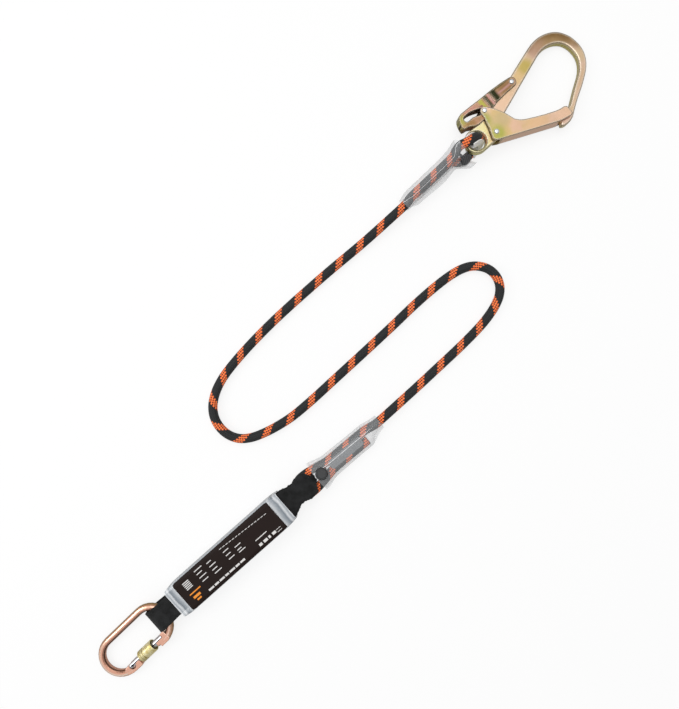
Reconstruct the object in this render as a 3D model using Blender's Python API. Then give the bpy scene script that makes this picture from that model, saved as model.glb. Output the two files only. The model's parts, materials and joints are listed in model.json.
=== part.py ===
"""Energy-absorbing rope lanyard with a scaffold hook and an oval screw-gate karabiner.

Metres, +Z up. The lanyard lies on the floor z = 0 with its absorber pack along X.
The karabiner is at -X and the hook at +X, with the rope's double bend between.
"""
import math

import bmesh
import bpy
from mathutils import Matrix, Vector

MM = 0.001
GAP = 0.0003
SIDES = 24

# Rope and its sewn eyes
ROPE_D = 0.0115
ROPE_SPLINE_POINTS = 74
ROPE_BEVEL_RESOLUTION = 4
LEG_SPREAD = 0.0059
SPREAD_START = 0.020
MOUTH_STRAIGHT = 0.004
STITCH_NEAR = 0.014
STITCH_LENGTH = 0.050
STITCH_WIDTH = 0.0124
STITCH_THICKNESS = 0.0008
TAIL_END = 0.070

# Clear sleeves over the sewn eyes
SLEEVE_WALL = 0.0011
SLEEVE_PLAY = 0.0003
SLEEVE_SKIRT = 0.0016
SLEEVE_FLARE = 0.0205
SLEEVE_WAIST = 0.0145
SLEEVE_MOUTH = 0.0082
SLEEVE_ANGLES = (-90, -60, -32, -10, -3, 3, 10, 32, 60, 90)

# Snap fasteners through the crotch of each eye
SNAP_CAP_R = 0.0079
SNAP_CAP_HEIGHT = 0.0030
SNAP_SHANK_R = 0.0018
SNAP_BASE_R = 0.0065
SNAP_BASE_HEIGHT = 0.0016
SNAP_SOCKET_R = 0.0030

# Thimble in the hook-end eye
THIMBLE_WALL = 0.0013
THIMBLE_FLANGE = 0.0080
THIMBLE_REACH = 0.0030

# Absorber pack, its film cover and label
PACK_LENGTH = 0.148
PACK_WIDTH = 0.0375
PACK_LAYER = 0.0032
PACK_LAYERS = 6
PACK_LAYER_GAP = 0.0007
COVER_LENGTH = 0.182
COVER_HEIGHT = 0.026
COVER_WALL = 0.0008
COVER_SIDE_ROOM = 0.0017
COVER_WIDTH = PACK_WIDTH + 2 * (COVER_WALL + COVER_SIDE_ROOM)
COVER_CORNER_R = 0.0045
COVER_TAPER = 0.016
COVER_PINCH = 0.0030
COVER_MOUTH_HEIGHT = 0.0235
LABEL_LENGTH = 0.153
LABEL_MARGIN = 0.0010
LABEL_WIDTH = COVER_WIDTH - 2 * LABEL_MARGIN
LABEL_THICKNESS = 0.0005

# Webbing loops at the two ends of the pack
WEBBING_THICKNESS = 0.0023
KARABINER_WEBBING_WIDTH = 0.0282
ROPE_WEBBING_WIDTH = 0.036
ROPE_WEBBING_NECK = 0.0080
NECK_FROM_SNAP = 0.0120
LOOP_FOLD_X = -0.1305
LOOP_CLEAR_R = 0.0084

# Karabiner
KARABINER_CENTRE_X = -0.1626
KARABINER_CENTRE_Y = -0.0027
KARABINER_HEADING = 2.4
ROD_D = 0.0095
OVAL_HALF_STRAIGHT = 0.0275
OVAL_BEND_R = 0.02325
SWING_INSET = 0.0032
KARABINER_LIFT = 0.0006
KARABINER_GATE_D = 0.0085
KARABINER_GATE_Y = -0.01965
KARABINER_HINGE_X = -0.0237
KARABINER_GATE_END_X = 0.0282
NOSE_END_X = 0.0325
NOSE_LIP = 0.0150
HINGE_LIP_END_X = -0.0128
TANG_THICKNESS = 0.0036
TANG_R = 0.0036
HINGE_PIN_R = 0.0015
SCREW_SLEEVE_D = 0.0154
SCREW_SLEEVE_LENGTH = 0.0233
SCREW_SLEEVE_START_X = -0.0110
SCREW_SLEEVE_TRAVEL = 0.0085
SCREW_SLEEVE_WALL = 0.0011
PLUNGER_R = 0.0017
PLUNGER_LENGTH = 0.007
GATE_COIL_WIRE_R = 0.0003
GATE_COIL_TURNS = 7

# Scaffold hook
HOOK_PLATE = 0.009
HOOK_EDGE = 0.0016
EYE_HOLE_R = 0.011
EYE_RIM = 0.0041
EYE_FLARE = 0.0020
HOOK_SWING_INSET = 0.0022
HOOK_HEADING = 6.4
HOOK_EYE_AHEAD = 0.010734065
HOOK_EYE_ASIDE = 0.0000367
GATE_SHEET = 0.002
LEVER_SHEET = 0.0018
BODY_PLAY = 0.0004
RIVET_R = 0.0019
RIVET_HEAD_R = 0.0029
RIVET_HEAD_HEIGHT = 0.0014
LOCK_PIN_R = 0.0020
GATE_PIVOT = (0.0230, -0.0102)
LOCK_PIN = (0.0324, 0.0179)
LEVER_PIVOT = (0.0844, 0.0174)
GATE_RANGE = 30.0
LEVER_RATIO = 0.2
SLOT_WIDTH = 0.0074
GATE_SPRING_WIRE_R = 0.00045
GATE_COIL_R = 0.0041
GATE_SPRING_LEG = 0.0055
LEVER_SPRING_WIDTH = 0.006
LEVER_SPRING_THICKNESS = 0.0008

# How the two eyes lie: x runs from the snap towards the bight
ABSORBER_EYE = {
    "name": "absorber",
    "bight_x": 0.024,
    "bight_r": 0.0115,
    "mouth_x": -0.096,
    "mouth_v": 0.0030,
    "sleeve_end_x": 0.0085,
    "snap_slack": 0.0,
    "roll": ((-0.096, 0.0), (0.03, 0.0)),
    "lift": ((-0.096, 0.0084), (-0.030, 0.0084), (0.0, 0.0099), (0.03, 0.0099)),
    "skirt_lay": None,
}
HOOK_EYE = {
    "name": "hook",
    "bight_x": 0.014,
    "bight_r": 0.0150,
    "mouth_x": -0.0915,
    "mouth_v": 0.0030,
    "sleeve_end_x": 0.0035,
    "snap_slack": 0.0017,
    "roll": ((-0.002, 57.0), (0.018, 74.5)),
    "lift": ((-0.0875, 0.0112), (-0.072, 0.0138), (-0.040, 0.0138), (0.018, 0.0213)),
    "skirt_lay": 3.0,
}

# The rope's route on the floor from the absorber's sleeve to the hook's sleeve, in millimetres
ROPE_ROUTE = (
    (245.0, 0.0, 8.4), (257.0, 0.0, 8.4), (280.0, 0.0, 7.0), (310.0, 0.2, 5.95),
    (345.0, 1.0, 5.95), (382.0, 2.0, 5.95), (415.0, 4.2, 5.95), (433.0, 7.0, 5.95),
    (449.0, 11.5, 5.95), (461.0, 17.5, 5.95), (469.5, 26.0, 5.95), (474.0, 37.0, 5.95),
    (473.5, 49.0, 5.95), (468.5, 59.0, 5.95), (460.0, 67.5, 5.95), (448.5, 73.2, 5.95),
    (432.0, 76.8, 5.95), (410.0, 78.6, 5.95), (376.0, 79.0, 5.95), (335.0, 77.6, 5.95),
    (290.0, 76.6, 5.95), (240.0, 75.8, 5.95), (196.0, 75.2, 5.95), (167.0, 76.2, 5.95),
    (147.0, 79.2, 5.95), (128.0, 84.0, 5.95), (112.0, 90.2, 5.95), (100.0, 99.0, 5.95),
    (93.0, 110.5, 5.95), (90.6, 124.0, 5.95), (93.0, 138.0, 5.95), (100.5, 150.5, 5.95),
    (113.5, 161.0, 5.95), (133.0, 169.4, 5.95), (165.0, 175.6, 5.95), (225.0, 180.7, 5.95),
    (310.0, 181.4, 5.95), (380.0, 179.4, 7.6), (432.5, 179.0, 13.7), (444.5, 179.2, 13.7),
)
MOUTH_HEADING_HOOK = 1.6
MOUTH_HEADING_ABSORBER = 178.2
HOOK_EYE_SIDESTEP = 0.0022

PALETTE = {
    "rope": ((0.024, 0.024, 0.026, 1.0), 0.0, 0.85),
    "webbing": ((0.012, 0.013, 0.012, 1.0), 0.0, 0.9),
    "film": ((0.40, 0.43, 0.46, 1.0), 0.0, 0.25),
    "label": ((0.017, 0.010, 0.008, 1.0), 0.0, 0.4),
    "pvc": ((0.72, 0.72, 0.70, 1.0), 0.0, 0.2),
    "thimble": ((0.60, 0.57, 0.54, 1.0), 0.0, 0.3),
    "snap": ((0.020, 0.020, 0.020, 1.0), 0.0, 0.45),
    "thread": ((0.10, 0.10, 0.10, 1.0), 0.0, 0.9),
    "gold_zinc": ((0.60, 0.42, 0.28, 1.0), 1.0, 0.35),
    "steel": ((0.62, 0.64, 0.67, 1.0), 1.0, 0.25),
    "copper_zinc": ((0.58, 0.36, 0.24, 1.0), 1.0, 0.3),
    "sleeve_brass": ((0.66, 0.58, 0.28, 1.0), 1.0, 0.35),
    "spring_steel": ((0.30, 0.30, 0.31, 1.0), 1.0, 0.4),
}


def clear_scene():
    """Empty the scene that the script starts in."""
    for old in list(bpy.data.objects):
        bpy.data.objects.remove(old, do_unlink=True)


def material(name):
    """Return the material of that name, made on first use."""
    found = bpy.data.materials.get(name)
    if found:
        return found
    colour, metallic, roughness = PALETTE[name]
    made = bpy.data.materials.new(name)
    made.use_nodes = True
    shader = made.node_tree.nodes["Principled BSDF"]
    shader.inputs["Base Color"].default_value = colour
    shader.inputs["Metallic"].default_value = metallic
    shader.inputs["Roughness"].default_value = roughness
    made.diffuse_color = colour
    return made


def link(obj, finish=None, parent=None):
    """Put an object in the scene with its finish and its parent."""
    bpy.context.scene.collection.objects.link(obj)
    if finish:
        obj.data.materials.append(material(finish))
    if parent:
        obj.parent = parent
    return obj


def empty(name, matrix, parent=None):
    """An empty that carries a moving body; matrix is in its parent's frame."""
    marker = bpy.data.objects.new(name, None)
    marker.empty_display_size = 0.02
    link(marker, parent=parent)
    marker.matrix_local = matrix
    return marker


def mesh_object(name, verts, faces, finish=None, parent=None, smooth=35.0, split=False):
    """Make a closed mesh object, faces out, smooth except at sharp edges; split makes triangles."""
    mesh = bpy.data.meshes.new(name)
    mesh.from_pydata([tuple(v) for v in verts], [], faces)
    bm = bmesh.new()
    bm.from_mesh(mesh)
    if split:
        bmesh.ops.triangulate(bm, faces=bm.faces)
    bmesh.ops.recalc_face_normals(bm, faces=bm.faces)
    bm.to_mesh(mesh)
    bm.free()
    mesh.shade_smooth()
    mesh.set_sharp_from_angle(angle=math.radians(smooth))
    return link(bpy.data.objects.new(name, mesh), finish, parent)


def loft(name, rings, finish=None, parent=None, closed_ring=False, smooth=35.0, split=False):
    """Skin a list of rings of equal point count; ends are capped, or joined into a loop."""
    count = len(rings[0])
    verts = [point for ring in rings for point in ring]
    faces = []
    spans = len(rings) if closed_ring else len(rings) - 1
    for i in range(spans):
        a, b = i * count, ((i + 1) % len(rings)) * count
        for j in range(count):
            k = (j + 1) % count
            faces.append((a + j, a + k, b + k, b + j))
    if not closed_ring:
        faces.append(tuple(reversed(range(count))))
        faces.append(tuple((len(rings) - 1) * count + j for j in range(count)))
    return mesh_object(name, verts, faces, finish, parent, smooth, split)


def circle(radius, sides=SIDES, start=0.0):
    """Points of a circle in its own plane."""
    step = 2 * math.pi / sides
    return [(radius * math.cos(start + i * step), radius * math.sin(start + i * step)) for i in range(sides)]


def arc(centre, radius, first, last, steps):
    """Points of an arc, angles in degrees."""
    points = []
    for i in range(steps + 1):
        angle = math.radians(first + (last - first) * i / steps)
        points.append((centre[0] + radius * math.cos(angle), centre[1] + radius * math.sin(angle)))
    return points


def mm(points):
    """Outline points written in millimetres, as metres."""
    return [tuple(value * MM for value in point) for point in points]


def smooth_curve(points, steps):
    """Centripetal Catmull-Rom curve through points of any dimension, with steps per span."""
    pts = [Vector(p).to_3d() if len(p) == 2 else Vector(p) for p in points]
    pts = [2 * pts[0] - pts[1]] + pts + [2 * pts[-1] - pts[-2]]
    out = []
    for i in range(1, len(pts) - 2):
        p0, p1, p2, p3 = pts[i - 1:i + 3]
        t1 = max((p1 - p0).length, 1e-9) ** 0.5
        t2 = t1 + max((p2 - p1).length, 1e-9) ** 0.5
        t3 = t2 + max((p3 - p2).length, 1e-9) ** 0.5
        for s in range(steps):
            t = t1 + (t2 - t1) * s / steps
            a1 = p0.lerp(p1, t / t1)
            a2 = p1.lerp(p2, (t - t1) / (t2 - t1))
            a3 = p2.lerp(p3, (t - t2) / (t3 - t2))
            b1 = a1.lerp(a2, t / t2)
            b2 = a2.lerp(a3, (t - t1) / (t3 - t1))
            out.append(b1.lerp(b2, (t - t1) / (t2 - t1)))
    out.append(pts[-2])
    return out


def flat_curve(points, steps):
    """The smooth curve of flat outline points, as pairs."""
    return [(p.x, p.y) for p in smooth_curve(points, steps)]


def smoothstep(value, low, high):
    """Ease from 0 to 1 as value goes from low to high."""
    t = min(max((value - low) / (high - low), 0.0), 1.0)
    return t * t * (3 - 2 * t)


def eased(stations, x):
    """Value at x of a list of (x, value) stations joined by smooth steps."""
    if x <= stations[0][0]:
        return stations[0][1]
    for (x0, v0), (x1, v1) in zip(stations, stations[1:]):
        if x <= x1:
            return v0 + (v1 - v0) * smoothstep(x, x0, x1)
    return stations[-1][1]


def offset_outline(points, distance):
    """Move each point of a closed counter-clockwise outline inward by distance."""
    moved = []
    count = len(points)
    for i in range(count):
        before = Vector(points[i - 1])
        here = Vector(points[i])
        after = Vector(points[(i + 1) % count])
        d1 = (here - before).normalized()
        d2 = (after - here).normalized()
        n1 = Vector((-d1.y, d1.x))
        n2 = Vector((-d2.y, d2.x))
        mean = n1 + n2
        if mean.length < 0.2:
            mean = n1
        mean.normalize()
        reach = distance / max(mean.dot(n1), 0.5)
        moved.append(tuple(here + mean * reach))
    return moved


def plate(name, outline, low, high, edge=0.0, finish=None, parent=None):
    """Extrude a closed outline from low to high in Z, with its edges rounded by edge."""
    levels = [(low, 0.0), (high, 0.0)]
    if edge:
        levels = [(low, edge), (low + edge * 0.3, edge * 0.3), (low + edge, 0.0),
                  (high - edge, 0.0), (high - edge * 0.3, edge * 0.3), (high, edge)]
    rings = []
    for z, inset in levels:
        ring = offset_outline(outline, inset) if inset else outline
        rings.append([(x, y, z) for x, y in ring])
    return loft(name, rings, finish, parent)


def turned(name, profile, finish=None, parent=None, matrix=None, sides=SIDES, smooth=35.0):
    """Revolve a profile of (radius, height) about Z; zero radius closes an end."""
    verts = []
    faces = []
    rows = []
    for radius, height in profile:
        if radius == 0.0:
            rows.append([len(verts)])
            verts.append((0.0, 0.0, height))
        else:
            rows.append(list(range(len(verts), len(verts) + sides)))
            verts.extend((x, y, height) for x, y in circle(radius, sides))
    closed = profile[0][0] != 0.0
    pairs = list(zip(rows, rows[1:]))
    if closed:
        pairs.append((rows[-1], rows[0]))
    for low, high in pairs:
        for j in range(sides):
            k = (j + 1) % sides
            if len(low) == 1:
                faces.append((low[0], high[j], high[k]))
            elif len(high) == 1:
                faces.append((low[j], low[k], high[0]))
            else:
                faces.append((low[j], low[k], high[k], high[j]))
    obj = mesh_object(name, verts, faces, finish, parent, smooth)
    if matrix:
        obj.data.transform(matrix)
    return obj


def rod(name, radius, low, high, matrix=None, finish=None, parent=None, sides=SIDES):
    """A plain round bar along Z from low to high."""
    profile = [(0.0, low), (radius, low), (radius, high), (0.0, high)]
    return turned(name, profile, finish, parent, matrix, sides)


def tube_along(name, points, radius, finish=None, parent=None, sides=12):
    """A round bar swept along points, with flat ends square to it."""
    pts = [Vector(p) for p in points]
    side = None
    rings = []
    for i, here in enumerate(pts):
        ahead = pts[min(i + 1, len(pts) - 1)] - pts[max(i - 1, 0)]
        ahead.normalize()
        if side is None:
            side = ahead.orthogonal().normalized()
        side = (side - ahead * side.dot(ahead)).normalized()
        up = ahead.cross(side)
        rings.append([here + side * x + up * y for x, y in circle(radius, sides)])
    return loft(name, rings, finish, parent, smooth=60.0)


def boolean(target, cutter, operation="DIFFERENCE"):
    """Add an exact Boolean and put the cutter out of sight."""
    cutter.hide_render = True
    cutter.display_type = "WIRE"
    if target.parent and cutter.parent is None:
        cutter.parent = target.parent
    modifier = target.modifiers.new(cutter.name, "BOOLEAN")
    modifier.operation = operation
    modifier.solver = "EXACT"
    modifier.object = cutter


def eye_leg_offset(eye, x):
    """Half distance between the two legs' centrelines at x."""
    spread = smoothstep(x, -SPREAD_START, eye["bight_x"] * 0.9)
    return LEG_SPREAD + (eye["bight_r"] - LEG_SPREAD) * spread


def eye_point(eye, x, v, w):
    """Map eye coordinates to the eye's local frame, with its roll and lift.

    x is along the eye, v across it in its plane and w out of its plane.
    """
    roll = math.radians(eased(eye["roll"], x))
    lift = eased(eye["lift"], x)
    y = v * math.cos(roll) - w * math.sin(roll)
    z = v * math.sin(roll) + w * math.cos(roll)
    sidestep = HOOK_EYE_SIDESTEP * smoothstep(x, 0.0, eye["bight_x"]) if eye["skirt_lay"] else 0.0
    return Vector((x, y - sidestep, z + lift))


def main_leg(eye):
    """Stations of the main leg's offset from the sleeve's mouth to the cut end of the other leg."""
    return ((eye["mouth_x"] + MOUTH_STRAIGHT, eye["mouth_v"]), (-TAIL_END - 0.001, LEG_SPREAD))


def eye_route(eye):
    """The sewn eye's centreline in its plane: main leg, bight, dead leg."""
    points = [(eye["mouth_x"] + GAP / 2, eye["mouth_v"])]
    first = eye["mouth_x"] + MOUTH_STRAIGHT
    straight_steps, bend_steps, tail_steps = 15, 9, 7
    for i in range(straight_steps):
        x = first + (-SPREAD_START - first) * i / straight_steps
        points.append((x, eased(main_leg(eye), x)))
    bend = [-SPREAD_START + (eye["bight_x"] + SPREAD_START) * i / bend_steps for i in range(bend_steps)]
    points += [(x, eye_leg_offset(eye, x)) for x in bend]
    points += arc((eye["bight_x"], 0.0), eye["bight_r"], 90.0, -90.0, 14)
    points += [(x, -eye_leg_offset(eye, x)) for x in reversed(bend)]
    for i in range(1, tail_steps + 1):
        points.append((-SPREAD_START + (SPREAD_START - TAIL_END) * i / tail_steps, -LEG_SPREAD))
    return points


def rope_eye(eye, parent):
    """The rope from the sleeve's mouth round the bight to its cut end."""
    points = [eye_point(eye, x, v, 0.0) for x, v in eye_route(eye)]
    return tube_along("rope_eye_" + eye["name"], points, ROPE_D / 2, "rope", parent, sides=12)


def stitching(eye, parent):
    """The sewn block that joins the two legs, a raised pad across them."""
    base = ROPE_D / 2 + GAP
    far = -STITCH_NEAR - STITCH_LENGTH
    half = STITCH_WIDTH / 2
    rings = []
    steps = 10
    for i in range(steps + 1):
        x = far + STITCH_LENGTH * i / steps
        end = min(i, steps - i)
        width = half * (0.78 if end == 0 else 1.0)
        pad = [(-width, base), (width, base), (width, base + STITCH_THICKNESS * 0.4),
               (width * 0.92, base + STITCH_THICKNESS), (-width * 0.92, base + STITCH_THICKNESS),
               (-width, base + STITCH_THICKNESS * 0.4)]
        rings.append([eye_point(eye, x, v, w) for v, w in pad])
    return loft("stitching_" + eye["name"], rings, "thread", parent)


def leg_stretch(eye, x, leg):
    """How much longer a slanting leg's section is across x than the rope is thick."""
    step = 0.0005
    ahead = eye_leg_offset(eye, x + step) - eye_leg_offset(eye, x - step) if x > -SPREAD_START else 0.0
    ahead = math.copysign(ahead, leg)
    move = eye_point(eye, x + step, leg + ahead / 2, 0.0) - eye_point(eye, x - step, leg - ahead / 2, 0.0)
    return move.length / (2 * step)


def sleeve_section(eye, x, wall):
    """Cross-section of the sleeve at x as (v, w) points, grown outward by wall."""
    tail = smoothstep(x, -TAIL_END - 0.016, -TAIL_END - 0.001)
    high_leg = eye_leg_offset(eye, x) if x > -SPREAD_START else eased(main_leg(eye), x)
    low_leg = -high_leg * tail + (1 - tail) * eye["mouth_v"]
    pad = (STITCH_THICKNESS + GAP) * smoothstep(x, eye["mouth_x"] + 0.01, -TAIL_END)
    points = []
    for leg, first in ((high_leg, 0), (low_leg, 180)):
        low_half = ROPE_D / 2 * leg_stretch(eye, x, leg) + GAP + SLEEVE_PLAY + wall
        for turn in SLEEVE_ANGLES:
            angle = math.radians(first + turn)
            across, up = math.cos(angle), math.sin(angle)
            points.append((leg + low_half * across, (low_half + pad * (up > 0)) * up))
    return points


def sleeve_skirts(eye, x, section):
    """Draw the section's two sides out into thin flat skirts."""
    reach = eased(((eye["mouth_x"], SLEEVE_MOUTH), (-TAIL_END, SLEEVE_WAIST),
                   (-STITCH_NEAR, SLEEVE_WAIST + 0.001), (eye["sleeve_end_x"], SLEEVE_FLARE)), x)
    high = max(v for v, w in section)
    low = min(v for v, w in section)
    middle = (high + low) / 2 * 0.4
    half = SLEEVE_SKIRT / 2
    out = list(section)
    tip = len(SLEEVE_ANGLES) // 2
    upper = high + 2 * half if eye["skirt_lay"] else max(reach + middle, high + 2 * half)
    lower = min(-reach + middle, low - 2 * half)
    turn = len(SLEEVE_ANGLES)
    out[tip - 1], out[tip] = (upper, -half), (upper, half)
    out[turn + tip - 1], out[turn + tip] = (lower, half), (lower, -half)
    return out


def sleeve_point(eye, x, v, w, fold_v):
    """Place a sleeve point; past fold_v on the low side the skirt lies down on the floor."""
    if not eye["skirt_lay"] or v >= fold_v:
        return eye_point(eye, x, v, w)
    hinge = eye_point(eye, x, fold_v, 0.0)
    folded = smoothstep(x, eye["mouth_x"], eye["mouth_x"] + 0.024)
    lay = math.radians(eased(eye["roll"], x) * (1 - folded) + eye["skirt_lay"] * folded)
    reach = v - fold_v
    y = reach * math.cos(lay) - w * math.sin(lay)
    z = reach * math.sin(lay) + w * math.cos(lay)
    return hinge + Vector((0.0, y, z))


def sleeve(eye, parent):
    """The clear tube over the sewn eye, open at both ends, with flat skirts at its sides."""
    stations = 20
    start = eye["mouth_x"] + GAP
    end = eye["sleeve_end_x"]
    outer = []
    inner = []
    for i in range(stations + 1):
        x = start + (end - start) * i / stations
        wide = sleeve_section(eye, x, SLEEVE_WALL)
        narrow = sleeve_section(eye, x, 0.0)
        fold_v = min(v for v, w in wide) + 0.00005
        outer.append([sleeve_point(eye, x, v, w, fold_v) for v, w in sleeve_skirts(eye, x, wide)])
        inner.append([eye_point(eye, x, v, w) for v, w in narrow])
    return ring_shell("sleeve_" + eye["name"], outer, inner, "pvc", parent)


def ring_shell(name, outer, inner, finish, parent):
    """A tube from outer and inner rings, whose ends are joined around the opening."""
    return loft(name, outer + list(reversed(inner)), finish, parent, closed_ring=True, smooth=40.0, split=True)


def snap_matrix(eye):
    """The snap's frame: on the crotch, its axis square to the eye's surface there."""
    step = 0.0005
    along = eye_point(eye, step, 0.0, 0.0) - eye_point(eye, -step, 0.0, 0.0)
    across = eye_point(eye, 0.0, step, 0.0) - eye_point(eye, 0.0, -step, 0.0)
    up = along.cross(across).normalized()
    across = up.cross(along).normalized()
    turn = Matrix((up.cross(across) * -1.0, across, up)).transposed().to_4x4()
    return Matrix.Translation(eye_point(eye, 0.0, 0.0, 0.0)) @ turn


def snap(eye, parent, shell):
    """The snap's cap with its shank, and the base under the sleeve that it clicks into."""
    slack = SLEEVE_PLAY + SLEEVE_WALL + GAP + eye["snap_slack"]
    seat_high = ROPE_D / 2 + STITCH_THICKNESS + 2 * GAP + slack
    seat_low = ROPE_D / 2 + GAP + slack
    frame = snap_matrix(eye)
    tip = -seat_low - SNAP_BASE_HEIGHT * 0.5
    rim = SNAP_CAP_R
    top = seat_high + SNAP_CAP_HEIGHT
    cap_profile = [(0.0, tip), (SNAP_SHANK_R, tip), (SNAP_SHANK_R, seat_high), (rim * 0.94, seat_high),
                   (rim, seat_high + SNAP_CAP_HEIGHT * 0.35), (rim * 0.97, top - SNAP_CAP_HEIGHT * 0.25),
                   (rim * 0.82, top), (rim * 0.70, top), (rim * 0.66, top - SNAP_CAP_HEIGHT * 0.2),
                   (0.0, top - SNAP_CAP_HEIGHT * 0.2)]
    turned("snap_cap_" + eye["name"], cap_profile, "snap", parent, frame, sides=32)
    low = -seat_low - SNAP_BASE_HEIGHT
    bore = SNAP_SHANK_R + GAP
    base_profile = [(bore, -seat_low), (bore, low), (SNAP_BASE_R * 0.9, low), (SNAP_BASE_R, low + 0.0004),
                    (SNAP_BASE_R, -seat_low), (SNAP_SOCKET_R, -seat_low)]
    turned("snap_base_" + eye["name"], base_profile, "snap", parent, frame)
    hole = rod("snap_hole_" + eye["name"], SNAP_SHANK_R + GAP, -0.02, 0.02, frame, parent=parent, sides=12)
    boolean(shell, hole)


def thimble(eye, parent):
    """The moulded trough that lines the bight, with a flange on each side of the rope."""
    route = [(x, v) for x, v in eye_route(eye)]
    bend = [p for p in route if p[0] >= eye["bight_x"] - THIMBLE_REACH]
    bed = ROPE_D / 2 + GAP * 1.6
    base = bed + THIMBLE_WALL
    flange = bed + THIMBLE_WALL
    lip = bed - THIMBLE_FLANGE
    profile = [(-base, -flange), (-base, flange), (-lip, flange), (-lip, bed), (-bed, bed),
               (-bed, -bed), (-lip, -bed), (-lip, -flange)]
    rings = []
    for i, (x, v) in enumerate(bend):
        ahead = Vector(bend[min(i + 1, len(bend) - 1)]) - Vector(bend[max(i - 1, 0)])
        ahead.normalize()
        outward = Vector((-ahead.y, ahead.x))
        ring = [eye_point(eye, x + outward.x * n, v + outward.y * n, w) for n, w in profile]
        rings.append(ring)
    return loft("thimble_hook", rings, "thimble", parent)


def rope(parent):
    """The rope's free run between the two sleeves."""
    curve = bpy.data.curves.new("rope", "CURVE")
    curve.dimensions = "3D"
    curve.bevel_depth = ROPE_D / 2
    curve.bevel_resolution = ROPE_BEVEL_RESOLUTION
    curve.use_fill_caps = True
    dense = smooth_curve(mm(ROPE_ROUTE), 12)
    lengths = [0.0]
    for a, b in zip(dense, dense[1:]):
        lengths.append(lengths[-1] + (b - a).length)
    start = (dense[1] - dense[0]).normalized() * GAP / 2
    total = lengths[-1]
    spline = curve.splines.new("POLY")
    spline.points.add(ROPE_SPLINE_POINTS - 1)
    j = 0
    for i in range(ROPE_SPLINE_POINTS):
        target = total * i / (ROPE_SPLINE_POINTS - 1)
        while j < len(lengths) - 2 and lengths[j + 1] < target:
            j += 1
        part = (target - lengths[j]) / max(lengths[j + 1] - lengths[j], 1e-9)
        point = dense[j].lerp(dense[j + 1], min(part, 1.0))
        if i == 0:
            point = point + start
        if i == ROPE_SPLINE_POINTS - 1:
            point = point - start
        spline.points[i].co = (*point, 1.0)
    return link(bpy.data.objects.new("rope", curve), "rope", parent)


def eye_frame(eye, route_end, heading, mirrored):
    """Place an eye so that its mouth meets the end of the rope's free run."""
    mouth = eye_point(eye, eye["mouth_x"], eye["mouth_v"], 0.0)
    flip = Matrix.Scale(-1.0, 4, (0.0, 1.0, 0.0)) if mirrored else Matrix.Identity(4)
    turn = Matrix.Rotation(math.radians(heading), 4, "Z") @ flip
    target = Vector(mm([route_end])[0])
    shift = target - turn @ mouth
    shift.z = 0.0
    return Matrix.Translation(shift) @ turn


def sewn_end(eye, route_end, heading, mirrored, parent):
    """All of one sewn end: the eye, its stitching, sleeve, snap and thimble."""
    frame = eye_frame(eye, route_end, heading, mirrored)
    made_before = set(bpy.data.objects)
    rope_eye(eye, parent)
    stitching(eye, parent)
    shell = sleeve(eye, parent)
    snap(eye, parent, shell)
    if eye is HOOK_EYE:
        thimble(eye, parent)
    for obj in set(bpy.data.objects) - made_before:
        obj.data.transform(frame)
        if mirrored:
            obj.data.flip_normals()
    return frame


def rounded_box_ring(x, half_width, low, high, radius, steps=3):
    """A rounded rectangle across X, counter-clockwise seen from +X."""
    ring = []
    corners = (((half_width - radius), (high - radius), 0), (-(half_width - radius), (high - radius), 90),
               (-(half_width - radius), (low + radius), 180), ((half_width - radius), (low + radius), 270))
    for cy, cz, first in corners:
        for i in range(steps + 1):
            angle = math.radians(first + 90 * i / steps)
            ring.append((x, cy + radius * math.cos(angle), cz + radius * math.sin(angle)))
    return ring


def cover_rings(inset):
    """Rings of the film cover along X, drawn inward by inset."""
    rings = []
    half_length = COVER_LENGTH / 2
    middle = COVER_HEIGHT / 2
    stations = []
    for i in range(6):
        part = i / 5
        height = COVER_MOUTH_HEIGHT + (COVER_HEIGHT - COVER_MOUTH_HEIGHT) * math.sin(part * math.pi / 2)
        width = COVER_WIDTH - COVER_PINCH * (1 - part) ** 2
        stations.append((-half_length + COVER_TAPER * part, width, height))
    stations += [(-x, width, height) for x, width, height in reversed(stations)]
    for x, width, height in stations:
        low = middle - height / 2 + inset
        high = middle + height / 2 - inset
        rings.append(rounded_box_ring(x, width / 2 - inset, low, high, COVER_CORNER_R - inset))
    return rings


def absorber(parent):
    """The tear-webbing pack, its shrink-film cover and the printed label."""
    ring_shell("absorber_cover", cover_rings(0.0), cover_rings(COVER_WALL), "film", parent)
    pack_of_folds(parent)
    top = COVER_HEIGHT + GAP
    flat = COVER_WIDTH / 2 - COVER_CORNER_R
    rings = []
    for y in (-LABEL_WIDTH / 2, -flat, flat, LABEL_WIDTH / 2):
        drop = 0.0
        if abs(y) > flat:
            over = abs(y) - flat
            drop = COVER_CORNER_R - math.sqrt(COVER_CORNER_R ** 2 - over ** 2)
        half = LABEL_LENGTH / 2
        low = top - drop + (GAP if drop else 0.0)
        high = low + LABEL_THICKNESS
        rings.append([(-half, y, low), (half, y, low), (half, y, high), (-half, y, high)])
    loft("absorber_label", rings, "label", parent)


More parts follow.
